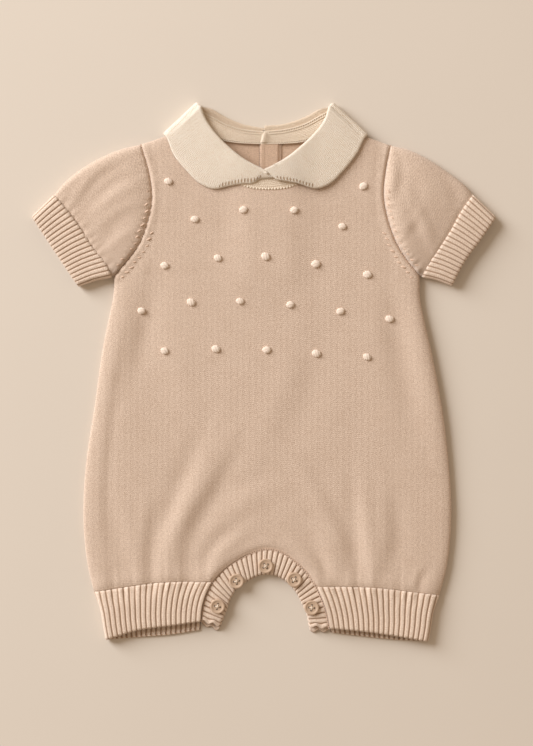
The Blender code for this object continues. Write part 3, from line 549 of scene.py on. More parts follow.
body = {
    "wall": 1.3 * mm, "top": 6.3 * mm, "raise": 1.9 * mm, "bands": 1.4 * mm, "roll": 7.5 * mm,
    "seamHalf": 0.7 * mm, "frontSpacing": 3.0 * mm, "backSpacing": 4.5 * mm, "rimGap": 5.0 * mm,
    # distances from the outline at which rows of points follow it, where it rolls over and elsewhere
    "rollRows": (0.25, 0.7, 1.4, 2.4, 3.8), "flatRows": (0.9, 2.0, 3.2),
    # ridges and grooves beside the seams: height, half width, place, millimetres
    "armhole": [(0.6, 1.9, 2.8), (-1.0, 0.8, 0), (-0.35, 1.6, 6.6)],
    "legSeam": [(-0.45, 1.8, 0), (0.3, 4, 6)],
    "archTop": [(-0.9, 2.2, 0), (0.35, 2.6, 4.5)],
    # height, half width, points along it, millimetres
    "creases": [
        (1.0, 9, [(-81, -166), (-80, -136), (-66, -101), (-51, -66), (-44, -48)]),
        (-1.0, 9, [(-67, -165), (-60, -125), (-42, -92), (-22, -54)]),
        (-0.5, 6, [(-91, -164), (-91, -128), (-88, -96)]),
        (0.6, 8, [(-102, -166), (-109, -125), (-115, -94)]),
        (-0.45, 5, [(-120, -164), (-125, -110), (-123, -66), (-114, 6), (-103, 60)]),
        (0.9, 7, [(-48, -160), (-36, -138), (-16, -120)]),
        (-0.8, 5, [(52, -166), (38, -144), (18, -125)]),
        (-0.8, 8, [(68, -162), (61, -128), (48, -100), (32, -76)]),
        (0.6, 6, [(55, -162), (45, -135), (32, -115)]),
        (1.1, 8, [(80, -168), (76, -125), (72, -80)]),
        (-0.9, 9, [(94, -160), (99, -125), (96, -88)]),
        (-0.5, 4, [(115, -170), (120, -161), (127, -149)]),
        (1.2, 14, [(104, 70), (113, 20), (128, -55)]),
        (0.5, 10, [(-34, -112), (-14, -92), (10, -86)]),
        (-0.5, 16, [(4, -60), (26, -10), (36, 40)]),
        (0.5, 18, [(-70, -40), (-78, 10), (-76, 60)]),
        (-1.0, 11, [(-92, 70), (-99, 34), (-110, -12)]),
        (-0.4, 12, [(96, 60), (98, 20), (104, -20)]),
    ],
    "backCreases": [
        (0.9, 10, [(-70, -150), (-60, -110), (-52, -70)]),
        (-0.8, 9, [(-40, -140), (-30, -110), (-24, -80)]),
        (0.8, 9, [(62, -150), (56, -112), (40, -70)]),
        (-0.7, 10, [(90, -140), (92, -100), (86, -60)]),
        (0.6, 14, [(-90, 60), (-80, 0), (-84, -40)]),
    ],
}


# height of the back's underside, raised where it lies on the collar or the back buttons
def backBottom(x, y):
    overCollar = softStep(112 * mm, 133 * mm, y) * softStep(90 * mm, 81 * mm, np.abs(x))
    overButtons = softStep(26 * mm, 12 * mm, np.abs(x - 4 * mm)) * softStep(66 * mm, 84 * mm, y)
    return body["raise"] * np.maximum(overCollar, overButtons)


# the front's height without creases and relief
def calmTop(x, y):
    overPlacket = softStep(40 * mm, 14 * mm, np.abs(x - 4 * mm)) * softStep(40 * mm, 84 * mm, y)
    return body["top"] + 0.12 * backBottom(x, y) + body["bands"] * overPlacket


# height of the front's outer face away from its rolled sides
def frontTop(x, y):
    z = calmTop(x, y) + creaseField(body["creases"], x, y)
    z = z + 0.35 * mm * swell(x, y, 90 * mm, 3) + 0.10 * mm * swell(x, y, 24 * mm, 4)
    for side in sides:
        z = z + seamRelief(body["armhole"], nearLine(lines["armhole" + side], x, y)[0])
        gap, share = nearLine(lines["legSeam" + side], x, y)
        z = z + seamRelief(body["legSeam"], gap) + 0.45 * mm * gathers(share, 9, 2.0, 17) * hump(gap, 15)
    return z + seamRelief(body["archTop"], nearLine(lines["archTop"], x, y)[0])


# rise from 0 at the rolled sides and shoulders to 1
def sideRise(x, y):
    rolled = [nearLine(lines[name + side], x, y)[0] for name in ("side", "shoulder") for side in sides]
    return roundOver(np.min(rolled, axis=0), body["roll"])


def frontFace(x, y):
    top = frontTop(x, y)
    low = (top + backBottom(x, y)) / 2 + body["seamHalf"]
    return low + (top - low) * sideRise(x, y)


def backFace(x, y):
    bottom = backBottom(x, y)
    high = (body["top"] + bottom) / 2 - body["seamHalf"]
    bottom = bottom + np.maximum(0, creaseField(body["backCreases"], x, y)) * 0.5
    return high - (high - bottom) * sideRise(x, y)


def insideOutline(outline, x, y):
    hit = np.zeros(len(x), dtype=bool)
    for (ax, ay), (bx, by) in zip(outline, np.roll(outline, -1, axis=0)):
        if ay != by:
            hit ^= ((ay > y) != (by > y)) & (x < (bx - ax) * (y - ay) / (by - ay) + ax)
    return hit


def unitRows(rows):
    return rows / np.linalg.norm(rows, axis=1)[:, None]


# the outline shrunk by a distance
def movedIn(outline, distance):
    before = outline - np.roll(outline, 1, axis=0)
    after = np.roll(outline, -1, axis=0) - outline
    tangent = unitRows(unitRows(before) + unitRows(after))
    return outline + np.stack([-tangent[:, 1], tangent[:, 0]], axis=1) * distance


# outline of a panel, counter-clockwise, with the stretches whose edge rolls over; a minus turns a line round
def panelOutline(back, step):
    names = ["sideLeft", "-legSeamLeft", "archTop", "legSeamRight", "-sideRight", "-armholeRight"]
    neckEdge = ["neckBackRight", "slit", "-neckBackLeft"] if back else ["-neckFront"]
    names += ["shoulderRight", *neckEdge, "-shoulderLeft", "armholeLeft"]
    points, turned = [], []
    for name in names:
        if name == "slit":
            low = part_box("placket_outer")[0][1] - 0.3 * mm
            right, left = lines["neckBackRight"][-1], lines["neckBackLeft"][-1]
            ends = ((right, (right[0], low)), ((left[0], low), left))
            stretch = np.vstack([along(np.array(pair), even(24))[1:-1] for pair in ends])
        else:
            line = lines[name.lstrip("-")]
            line = line[::-1] if name[0] == "-" else line
            stretch = along(line, even(max(3, int(lengthAlong(line)[-1] / step)) + 1))[:-1]
        points.append(stretch)
        turned += ["side" in name or "shoulder" in name] * len(stretch)
    return np.vstack(points), np.array(turned)


def makePanel(name, back, node, spacing):
    outline, turned = panelOutline(back, spacing)
    inner = [movedIn(outline, off * mm)[turned] for off in body["rollRows"]]
    inner += [movedIn(outline, off * mm)[~turned] for off in body["flatRows"]]
    low, high = outline.min(axis=0), outline.max(axis=0)
    x, y = np.meshgrid(np.arange(low[0], high[0], spacing), np.arange(low[1], high[1], spacing * 0.87))
    x = x + (np.arange(x.shape[0])[:, None] % 2) * spacing / 2
    grid = np.column_stack([x.ravel(), y.ravel()])
    grid = grid[insideOutline(outline, *grid.T)]
    rim = np.vstack([outline, outline[:1]])
    inner.append(grid[nearLine(rim, *grid.T)[0] > body["rimGap"]])
    inner = np.vstack(inner)
    plan = np.vstack([outline, inner[insideOutline(outline, *inner.T)]])
    edges = [(i, (i + 1) % len(outline)) for i in range(len(outline))]
    verts, _, faces, _, _, _ = geometry.delaunay_2d_cdt([Vector(p) for p in plan], edges, [], 1, 1e-7)
    flat = np.array([tuple(v) for v in verts])
    z = (backFace if back else frontFace)(*flat.T)
    faces = [tuple(reversed(face)) if back else tuple(face) for face in faces]
    obj = giveWall(addMesh(name, np.column_stack([flat, z]), faces, flat), body["wall"])
    settle(obj, bodyKnit, node)
    # the inside faces, seen through the neck, get a darker finish: partly the purl side's own tone, partly
    # painted shade
    obj.data.materials.append(insideShadeKnit)
    obj.modifiers["wall"].material_offset = 1
    return obj


frontBody = makePanel("frontBody", False, "front_panel", body["frontSpacing"])
backBody = makePanel("backBody", True, "back_panel", body["backSpacing"])
print("panels", len(frontBody.data.polygons), len(backBody.data.polygons))


sleeve = {
    "wall": 1.3 * mm, "rows": 44, "columns": 150, "roll": 4.6 * mm, "underCuff": 0.045,
    # the puff's height, the cuff's height, how soon the puff is reached, seed of the swell
    "Left": {"puff": 10.4 * mm, "cuff": 8.0 * mm, "rise": 0.18, "seed": 21, "creases": [
        (-0.7, 5, [(-112, 163), (-130, 152), (-148, 128)]),
        (0.8, 6, [(-100, 150), (-118, 140), (-138, 122)]),
        (-0.6, 6, [(-98, 128), (-112, 122), (-130, 108)]),
        (0.5, 5, [(-104, 112), (-116, 104), (-128, 92)]),
    ]},
    "Right": {"puff": 12.8 * mm, "cuff": 7.6 * mm, "rise": 0.12, "seed": 22, "creases": [
        (-1.0, 6, [(103, 166), (103, 150), (100, 132)]),
        (-0.4, 5, [(121, 120), (113, 110), (106, 102)]),
        (0.9, 6, [(114, 128), (122, 112), (128, 98)]),
        (0.7, 8, [(112, 160), (122, 146), (128, 130)]),
        (-0.6, 7, [(130, 158), (142, 143), (148, 125)]),
    ]},
}


# rows of a flattened tube: the front over, the back under, joined by rounded folds
def tubeRows(plan, shares, tops, rollWidth, backPlan=None):
    rows = []
    for i, line in enumerate(plan):
        width = lengthAlong(line)[-1]
        fromStart = shares if backPlan is None else np.inf
        rise = roundOver(np.minimum(fromStart, 1 - shares) * width, min(rollWidth, width * 0.45))
        half = tops[i].mean() / 2
        front = np.column_stack([line, half + (tops[i] - half) * rise])
        under = line if backPlan is None else backPlan[i]
        rear = np.column_stack([under, half - half * rise])
        rows.append(np.vstack([front, rear[::-1][1:]]))
    return np.array(rows)


# shares that crowd at both ends
def crowded(count):
    return 0.5 - 0.5 * np.cos(even(count) * math.pi)


# seam of a sleeve's cuff, whose lower end hangs past the sleeve's
def cuffStart(side):
    seam = seamLines["cuffSeam" + side]
    lowEnd = (seam[-1][0] + (-0.6 if side == "Left" else 0.6), seam[-1][1] - 3.2)
    return smoothCurve(seam[:-1] + [lowEnd]), lowEnd


def makeSleeve(side):
    own = sleeve[side]
    shares, rowShares = crowded(241), even(sleeve["rows"])
    # the end runs on a little way under the cuff
    end = along(cuffStart(side)[0], even(200))
    end = end + sleeve["underCuff"] * (along(lines["cuffOpen" + side], even(200)) - end)
    armhole = lines["armhole" + side]
    under = np.array([armhole[-1], end[-1]])
    over = np.vstack([lines["sleeveTop" + side][:-1], end[:1]])
    plan = coons(armhole, end, over, under, rowShares, shares)
    u = rowShares[:, None]
    base = body["top"] * (1 - u) + own["cuff"] * u
    crown = (1 - np.exp(-u / own["rise"])) * (1 - u) ** 0.9 * np.sin(math.pi * shares[None, :]) ** 0.5
    x, y = plan[..., 0], plan[..., 1]
    tops = base + (own["puff"] - base) * crown + 0.8 * creaseField(own["creases"], x, y)
    tops = tops + 0.25 * mm * swell(x, y, 60 * mm, own["seed"])
    gap, share = nearLine(armhole, x, y)
    pucker = (0.2 + 0.5 * softStep(0.25, 0.5, share)) * gathers(share, 19, 1.5, 23)
    tops = tops + mm * pucker * hump(gap, 5) - 0.6 * mm * hump(gap, 1.1)
    gap, share = nearLine(lines["cuffSeam" + side], x, y)
    tops = tops - 0.4 * mm * softStep(0.93, 0.99, u) - 0.15 * mm * hump(gap, 2.0)
    tops = tops + 0.25 * mm * gathers(share, 12, 1, 19) * hump(gap, 6)
    rows = tubeRows(plan, shares, tops, sleeve["roll"])
    points = respread(rows, sleeve["columns"])
    plan = tubePlan(points, girth(rows))
    obj = gridCloth("sleeve" + side, points, plan, sleeve["wall"], True, side == "Left")
    return settle(obj, bodyKnit, "sleeve_" + side.lower())


ribbed = {
    "wall": 1.5 * mm, "relief": 0.66 * mm, "perRib": 11, "flatness": 3.4, "startFade": 0.75, "endFade": 0.6,
    "cuffPitch": 3.6 * mm, "cuffRoll": 4.4 * mm, "cuffEnd": 0.955,
    "legPitch": 4.2 * mm, "legRoll": 3.2 * mm, "legEnd": 0.965, "legRelief": 0.759 * mm,
}


# pushes the surface out in ribs that run along the columns
def ribPush(points, ribs, relief, fadeRows, wrap, flip):
    across = np.gradient(points, axis=1)
    if wrap:
        across[:, 0] = across[:, -1] = points[:, 1] - points[:, -2]
    normal = np.cross(across, np.gradient(points, axis=0)) * (-1 if flip else 1)
    normal /= np.maximum(np.linalg.norm(normal, axis=2, keepdims=True), 1e-12)
    phase = np.linspace(0, ribs, points.shape[1]) % 1
    wave = 1 - np.abs(2 * phase - 1) ** ribbed["flatness"]
    pushed = points + normal * (relief * (fadeRows[:, None] * wave - 0.5))[..., None]
    # pressed flat where they lie on the floor
    pushed[..., 2] = np.maximum(pushed[..., 2], 0)
    return pushed


# ribbed tube from its rows, with a whole number of ribs, that fade at its two ends
def ribbedTube(name, rows, rowShares, kind, relief, wrap, flip):
    pitch = ribbed[kind + "Pitch"]
    ribs = int(round(girth(rows) / pitch))
    fade = softStep(0.0, 0.05, rowShares) * ribbed["startFade"] + 1 - ribbed["startFade"]
    fade = fade * (1 - ribbed["endFade"] * softStep(ribbed[kind + "End"], 0.99, rowShares))
    points = ribPush(respread(rows, ribs * ribbed["perRib"] + 1), ribs, relief, fade, wrap, flip)
    if wrap:
        points[:, -1] = points[:, 0]
    return gridCloth(name, points, tubePlan(points, ribs * pitch), ribbed["wall"], wrap, flip)


def makeSleeveCuff(side):
    shares, rowShares = crowded(301), np.concatenate([even(14) * 0.94, [0.965, 0.985, 1.0]])
    start, lowEnd = cuffStart(side)
    opening = lines["cuffOpen" + side]
    endPoint = seamLines["cuffOpen" + side][-1]
    bulge = ((lowEnd[0] + endPoint[0]) / 2, (lowEnd[1] + endPoint[1]) / 2 + 1.0)
    over, under = np.array([start[0], opening[0]]), smoothCurve([lowEnd, bulge, endPoint])
    plan = coons(start, opening, over, under, rowShares, shares)
    u = rowShares[:, None]
    tops = sleeve[side]["cuff"] - 0.5 * mm * softStep(0.94, 1.0, u) + 0.3 * mm * np.sin(u * math.pi)
    tops = tops + 0.25 * mm * swell(plan[..., 0], plan[..., 1], 40 * mm, 31)
    rows = tubeRows(plan, shares, tops, ribbed["cuffRoll"])
    obj = ribbedTube("sleeveCuff" + side, rows, rowShares, "cuff", ribbed["relief"], True, side == "Left")
    return settle(obj, cuffRibKnit, "cuff_" + side.lower())


sleeves = [makeSleeve(side) for side in sides]
sleeveCuffs = [makeSleeveCuff(side) for side in sides]
print("sleeves")


leg = {"seamLift": 0.35 * mm, "hemTop": 6.9 * mm, "seamGap": 0.25 * mm}


# leg cuff, open at the crotch, where the bands take over
def makeLegCuff(side):
    shares, rowShares = np.sin(even(301) * math.pi / 2), np.concatenate([even(20) * 0.95, [0.97, 0.985, 1.0]])
    aside = np.array([leg["seamGap"] * (-1 if side == "Left" else 1), 0])
    seam, outer, hemBack = (lines[name + side] for name in ("legSeam", "legSide", "hemBack"))
    inner = lines["arch" + side] + aside
    innerBack = np.vstack([inner[:-1], hemBack[:1] + aside])
    plan = coons(seam, lines["hemFront" + side], inner, outer, rowShares, shares)
    planBack = coons(seam, hemBack, innerBack, outer, rowShares, shares)
    u = rowShares[:, None]
    seamTop = frontTop(plan[0, :, 0], plan[0, :, 1])[None, :] + leg["seamLift"]
    tops = seamTop + (leg["hemTop"] - seamTop) * softStep(0, 0.4, u) - 0.7 * mm * softStep(0.96, 1.0, u)
    tops = tops + 0.3 * mm * swell(plan[..., 0], plan[..., 1], 45 * mm, 41)
    rows = tubeRows(plan, shares, tops, ribbed["legRoll"], planBack)
    obj = ribbedTube("legCuff" + side, rows, rowShares, "leg", ribbed["legRelief"], False, side == "Right")
    return settle(obj, legRibKnit, "leg_cuff_" + side.lower())


legCuffs = [makeLegCuff(side) for side in sides]
print("leg cuffs")


band = {
    "wall": 1.5 * mm, "width": 19 * mm, "top": 5.0 * mm, "crown": 0.5 * mm, "pitch": 3.7 * mm,
    "relief": 0.9 * mm, "pressed": 0.35 * mm, "pressedWidth": 6.5 * mm,
    "backTop": 1.9 * mm, "backDrop": 1.2 * mm, "backEnds": 2.6 * mm, "edgeDrop": 1.1 * mm,
    # the ends curl in waves: sideways and up, waves over the width, and where the back band's waves start
    "curlAside": 1.1 * mm, "curlUp": 0.5 * mm, "waves": 12, "backPhase": 1.3,
    # outer x, outer y, inner x, inner y
    "stations": [
        (-48.8, -194.0, -35.0, -197.4), (-47.9, -184.0, -29.6, -187.0), (-45.4, -174.6, -25.6, -175.6),
        (-39.9, -163.4, -19.6, -166.6), (-28.0, -151.2, -11.6, -161.6), (-12.0, -141.6, -4.6, -158.2),
        (2.0, -137.6, 1.8, -157.2), (13.9, -140.3, 9.0, -158.0), (27.0, -150.2, 16.0, -161.8),
        (40.5, -167.0, 23.8, -169.6), (44.6, -176.0, 28.4, -178.0), (48.4, -187.0, 33.0, -188.0),
        (50.9, -199.6, 35.6, -198.2),
    ],
}


def makeBand(name, front, node):
    table = np.array(band["stations"])
    outer, inner = smoothCurve(table[:, :2], 10), smoothCurve(table[:, 2:], 10)
    middle = (along(outer, even(400)) + along(inner, even(400))) / 2
    ribs = int(round(lengthAlong(middle)[-1] / band["pitch"]))
    cols = ribs * ribbed["perRib"] + 1
    shares = even(cols)
    outer, inner = along(outer, shares), along(inner, shares)
    across = np.concatenate([[0.014, 0.03, 0.06], np.linspace(0.1, 0.9, 14), [0.94, 0.97, 0.99, 1.0]])
    t = across[:, None]
    fromMiddle = np.abs(shares - 0.5)
    edgeGap = np.minimum(t, 1 - t) * band["width"]
    x, y = (outer[:, k] * (1 - t) + inner[:, k] * t for k in (0, 1))
    if front:
        z = band["top"] + band["crown"] * np.sin(math.pi * t) + 0.25 * mm * swell(x, y, 30 * mm, 51)
    else:
        y = y - (band["backDrop"] * t + band["backEnds"] * softStep(0.4, 0.5, fromMiddle))
        z = band["backTop"] + 0 * x
    z = z - band["edgeDrop"] * (1 - roundOver(edgeGap, 1.4 * mm))
    waves = np.sin(t * band["waves"] + (0 if front else band["backPhase"])) * softStep(0.455, 0.5, fromMiddle)
    y = y + band["curlAside"] * waves
    z = z + band["curlUp"] * waves
    if front:
        # pressed down under the buttons
        for number in range(1, 6):
            low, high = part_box("button_%d" % number)
            gap = np.hypot(x - (low[0] + high[0]) / 2, y - (low[1] + high[1]) / 2)
            z = z - band["pressed"] * np.exp(-(gap / band["pressedWidth"]) ** 4)
    fade = 1 - 0.8 * (1 - roundOver(edgeGap[:, 0], 1.6 * mm))
    points = ribPush(np.stack([x, y, z], axis=2), ribs, band["relief"], fade, False, True)
    plan = planOf(shares * ribs * band["pitch"], t * band["width"])
    obj = gridCloth(name, points, plan, band["wall"], flip=True)
    return settle(obj, bandRibKnit, node)


bandBack = makeBand("crotchBandBack", False, "crotch_band_back")
bandFront = makeBand("crotchBandFront", True, "crotch_band_front")
print("crotch bands")


neck = {
    "wall": 1.3 * mm, "width": 9 * mm, "foldRound": 1.7 * mm,
    # lift over the cloth at the edges, and how much more in the middle
    "frontLift": 0.2 * mm, "frontSwell": 0.5 * mm, "backLift": 1.6 * mm, "backSwell": 0.9 * mm,
    # the ends at the back opening: drop and width of the rounded edge, lift and lean of the right one
    "endDrop": 0.9 * mm, "endRound": 1.3 * mm, "endLift": 1.3 * mm, "endLean": 1.8 * mm,
    "topFront": [(-52.6, 203.4), (-49.4, 194.6), (-41.6, 183.2), (-31.6, 172.0), (-19.6, 162.6),
                 (-8.0, 156.4), (2.0, 153.4), (11.0, 157.0), (21.0, 162.8), (33.6, 172.4), (43.6, 183.4),
                 (50.6, 194.6), (54.0, 203.4)],
    "topLeft": [(-52.6, 203.4), (-42.0, 197.8), (-30.0, 191.4), (-16.5, 187.2), (1.0, 185.4)],
    "topRight": [(54.0, 203.4), (43.6, 197.8), (31.6, 191.4), (16.0, 187.2), (-2.0, 185.6)],
    "lowLeft": [(-56, 190.5), (-42, 184.4), (-24, 180), (1.0, 178.5)],
    "lowRight": [(57, 190.5), (43, 184.4), (28, 180), (-2.0, 178.5)],
    # shares from the lower to the upper edge, and distances from the shoulder folds, where points lie
    "across": np.array([-0.01, 0.0, 0.03, 0.08, 0.16, 0.3, 0.5, 0.7, 0.88, 1.0, 1.08]),
    "ends": np.array([0, 0.25, 0.7, 1.7]) * mm,
}
neckLines = {name: smoothCurve(points) for name, points in neck.items() if isinstance(points, list)}
neckLines["lowFront"] = lines["neckFront"]


# the left back, front and right back stretches of the band, folded at the shoulders
def makeNeckband():
    ends = neck["ends"]
    stretches = []
    for kind in ("Left", "Front", "Right"):
        lower, upper = neckLines["low" + kind], neckLines["top" + kind]
        size = lengthAlong(lower)[-1]
        count = 120 if kind == "Front" else 60
        shares = np.concatenate([ends[:-1] / size, np.linspace(ends[-1] / size, 1, count)])
        if kind == "Front":
            shares = np.concatenate([shares[:-1] * (1 - ends[-1] / size), 1 - ends[:-1][::-1] / size])
        fromFold = np.minimum(shares, 1 - shares) if kind == "Front" else shares
        rise = roundOver(fromFold * size, neck["foldRound"])
        stretches.append((kind, along(lower, shares), along(upper, shares), rise, (1 - shares) * size))
    grid = []
    for t in neck["across"]:
        swollen = math.sin(math.pi * (t + 0.07) / 1.27) ** 0.5
        run = []
        for kind, lower, upper, rise, fromCentre in stretches:
            line = lower * (1 - t) + upper * t
            top, bottom = frontTop(*line.T), backBottom(*line.T)
            if kind == "Front":
                target = top + neck["frontLift"] + neck["frontSwell"] * swollen
            else:
                target = bottom + neck["backLift"] + neck["backSwell"] * swollen
                target = target - neck["endDrop"] * (1 - roundOver(fromCentre, neck["endRound"]))
            if kind == "Right":
                # the folded end leans over the left one
                target = target + neck["endLift"] * hump(fromCentre, 4)
                line[:, 0] += neck["endLean"] * t * hump(fromCentre, 6)
            middle = (top + bottom) / 2
            run.append(np.column_stack([line, middle + (target - middle) * rise]))
        grid.append(np.vstack([run[0][::-1], run[1][1:-1], run[2]]))
    points = np.array(grid)
    plan = planOf(lengthAlong(points[3]), neck["across"][:, None] * neck["width"])
    # the band gets the darker cream: painted shade under the collar
    return settle(gridCloth("neckBand", points, plan, neck["wall"]), creamBandShadeKnit, "neckband")


# strip of the back opening; the inner one is linked down beside the outer one's edge
def makePlacket(name, node, finish):
    low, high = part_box(node)
    x, y = np.meshgrid(np.linspace(low[0], high[0], 44), np.linspace(low[1], high[1], 60))
    z = low[2] + 0.5 * mm * (1 - roundOver(np.minimum(x - low[0], high[0] - x), 1.2 * mm))
    if node == "placket_inner":
        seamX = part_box("placket_outer")[1][0] + 0.2 * mm
        z = z - 0.9 * mm * softStep(seamX - 0.4 * mm, seamX + 0.8 * mm, x)
        z = z - 0.6 * mm * hump(x - seamX, 0.6) + 0.35 * mm * hump(x - low[0], 1.4, 2.2)
    obj = gridCloth(name, np.stack([x, y, z], axis=2), planOf(x, y), neck["wall"], flip=True)
    return settle(obj, finish, node)


neckband = makeNeckband()
# the inner placket shows through the neck in the darker inside finish, partly painted shade
placketInner = makePlacket("placketInner", "placket_inner", insideShadeKnit)
placketOuter = makePlacket("placketOuter", "placket_outer", bodyKnit)
print("neckband")


collar = {
    # wall, height of the fall's outer face, of the shoulder's turn and of the roll, lap of the right half
    "wall": 1.5 * mm, "laid": 2.3 * mm, "lift": 0.6 * mm, "stack": 3.7 * mm, "over": 1.8 * mm,
    # rounded edges: drop and width, at the outline and where the roll has not started; length of the front
    "edgeDrop": 1.2 * mm, "edgeRound": 1.8 * mm, "frontDrop": 0.9 * mm, "frontRound": 1.6 * mm,
    "frontLength": 75 * mm, "foldGap": 0.3 * mm, "swell": 0.35 * mm, "foldRows": 22,
    # faces lower and nearer the middle than this belong to the stand, which gets a finish with painted shade
    "standTop": 5.8 * mm, "standHalf": 50 * mm,
    "edgeGaps": np.array([0, 0.15, 0.5, 1.0, 1.8, 3.0]) * mm,
    # station where the roll starts, slope of the fall, and the row of loops: lean, start and stop
    "Left": {"openAt": 5, "slope": 2.2 * mm, "lean": 0.45, "start": 9 * mm, "stop": 43 * mm},
    "Right": {"openAt": 8, "slope": 3.4 * mm, "lean": 0.6, "start": 3 * mm, "stop": 32 * mm},
    "slots": {"pitch": 2.5 * mm, "from": 3.7 * mm, "half": 1.5 * mm, "share": 0.56},
    # roll x, roll y, outer x, outer y
    "LeftFront": [
        (7.4, 151.0, 5.8, 150.2), (1.5, 156.1, -3.6, 149.3), (-3.0, 158.6, -8.6, 146.3),
        (-9.5, 161.9, -17.0, 145.9), (-17.0, 166.4, -27.0, 144.2), (-27.0, 174.6, -39.0, 142.0),
        (-34.6, 182.0, -50.0, 146.4), (-41.0, 190.0, -60.0, 156.0), (-47.0, 199.6, -70.6, 169.0),
        (-52.3, 210.4, -78.8, 185.5),
    ],
    "RightFront": [
        (-0.4, 157.2, 9.4, 148.8), (7.0, 160.6, 15.0, 148.0), (18.0, 166.8, 27.0, 145.8),
        (29.0, 175.6, 40.4, 142.2), (37.4, 183.6, 51.0, 145.8), (43.6, 190.8, 62.0, 156.4),
        (48.6, 199.4, 72.4, 169.6), (53.7, 210.2, 81.2, 184.8),
    ],
    "LeftBack": [
        (-52.3, 210.4, -78.8, 185.5), (-43.0, 206.6, -70.0, 168.0), (-31.0, 199.4, -52.0, 154.0),
        (-17.0, 193.4, -28.0, 149.0), (0.6, 189.9, 0.0, 148.0),
    ],
    "RightBack": [
        (53.7, 210.2, 81.2, 184.8), (45.0, 206.4, 72.0, 168.0), (33.0, 199.2, 54.0, 154.0),
        (16.0, 193.4, 26.0, 149.0), (0.6, 192.0, -2.0, 148.0),
    ],
}


# half of the collar: its front, the turn round the shoulder and its back, each station a line across the fold
def makeCollar(side):
    own = collar[side]
    openAt = own["openAt"]
    rollFront, outFront, rollBack, outBack = (smoothCurve(np.array(collar[side + half])[:, k:k + 2])
                                              for half in ("Front", "Back") for k in (0, 2))
    axis = outFront[-1] - rollFront[-1]
    outward = np.array([-axis[1], axis[0]]) / np.linalg.norm(axis)
    outward = outward if outward[1] > 0 else -outward
    radius = (body["top"] + 0.12 * body["raise"] + collar["lift"] + collar["wall"]) / 2

    def station(roll, out, share, tucked, angle):
        shift = outward * radius * tucked
        return along(roll, [share])[0] - shift, along(out, [share])[0] - shift, angle, share

    stations = [station(rollFront, outFront, share, softStep(0.78, 1.0, share), 0.0)
                for share in (0, 0.008, 0.02, *np.linspace(0.04, 1, 60)[:-1])]
    frontEnd = len(stations)
    stations += [station(rollFront, outFront, 1, 1, angle) for angle in np.linspace(0, math.pi, 15)]
    backStart = len(stations)
    stations += [station(rollBack, outBack, share, softStep(0.3, 0.0, share), math.pi)
                 for share in even(36)[1:]]
    rollTurns = np.radians(np.linspace(0, 180, 10))
    grid = []
    for index, (roll, out, angle, share) in enumerate(stations):
        inFront, behind = index < frontEnd, index >= backStart
        size = np.linalg.norm(out - roll)
        span = (out - roll) / size
        direction = np.array([*span, 0.0])
        normal = np.array([*(outward * math.sin(angle)), math.cos(angle)])
        grown = softStep(openAt - 3, openAt + 8, index)
        half = collar["stack"] / 2 * max(0.16, grown)
        inner = collar["foldGap"] + (0 if index < openAt else half)
        folds = np.linspace(size - 4.5 * mm, inner, collar["foldRows"])
        distances = np.maximum(np.concatenate([size - collar["edgeGaps"], folds]), inner)
        xy = roll + span * distances[:, None]
        edge = np.minimum(size - distances, share * collar["frontLength"] if inFront else np.inf)
        drop = collar["edgeDrop"] * (1 - roundOver(edge, collar["edgeRound"]))
        frontEdge = 1 - roundOver(distances - inner, collar["frontRound"])
        drop = drop + collar["frontDrop"] * (1 - grown) * frontEdge
        if inFront:
            slope = own["slope"] * (1 if side == "Left" else softStep(0.1, 0.5, share))
            over = 0 if side == "Left" else collar["over"] * softStep(42 * mm, 6 * mm, roll[0])
            z = calmTop(*xy.T) + collar["laid"] + slope * (1 - distances / size) + over
            z = z + collar["swell"] * swell(*xy.T, 45 * mm, 62 if side == "Left" else 61)
            points = np.column_stack([xy, z - drop])
        elif behind:
            points = np.column_stack([xy, drop])
        else:
            points = np.column_stack([xy, np.full(len(xy), radius)]) + normal * (radius - drop[:, None])
        centre = points[-1] - direction * collar["foldGap"] - normal * half
        turned = [centre + normal * half * math.cos(a) - direction * half * math.sin(a) for a in rollTurns]
        # the stand goes down to the top of the band at the back, and hides under the fall in front
        foot = turned[-1]
        target = along(neckLines["top" + side], [share if inFront or behind else 0])[0]
        backTarget = np.array([*target, foot[2] if behind else body["top"] / 2])
        turnShare = angle / math.pi
        aim = (foot + direction * 2 * mm) * (1 - turnShare) + backTarget * turnShare
        tail = [foot + (aim - foot) * k for k in (0.2, 0.4, 0.6, 0.8, 1.0)]
        grid.append(np.vstack([points, turned, tail]))
    points = np.array(grid).transpose(1, 0, 2)
    down = np.array([lengthAlong(points[:, k]) for k in range(points.shape[1])]).T
    flatRows = len(collar["edgeGaps"]) + collar["foldRows"]
    obj = gridCloth("collar" + side, points, planOf(lengthAlong(points[0]), down), collar["wall"],
                    flip=side == "Left", skipFace=lambda i, j: i >= flatRows - 1 and j < openAt - 1)
    finish = knitFinish("creamKnit" + side, yarn["cream"], slots={**collar["slots"], **own}, **creamStitch)
    settle(obj, finish, "collar_" + side.lower())
    # the stand is the inside of the cloth; its darker finish is partly the inside's own tone, mostly painted
    # shade
    obj.data.materials.append(creamInsideShadeKnit)
    for face in obj.data.polygons:
        low, near = face.center.z < collar["standTop"], abs(face.center.x - middleX) < collar["standHalf"]
        face.material_index = int(low and near)
    return obj


collars = [makeCollar(side) for side in sides]
print("collar")


button = {
    "rim": 0.8 * mm, "dish": 4.0 * mm, "dishDepth": 0.42 * mm, "hole": 0.85 * mm, "offset": 1.45 * mm,
    "steps": 48, "tilt": 2.5,
    # sewing thread: radius, places of its two strands, height of its arch, depth of its ends in the holes
    "thread": 0.2 * mm, "strands": (-0.16 * mm, 0.16 * mm), "arch": 1.35 * mm, "sunk": 0.9 * mm,
}


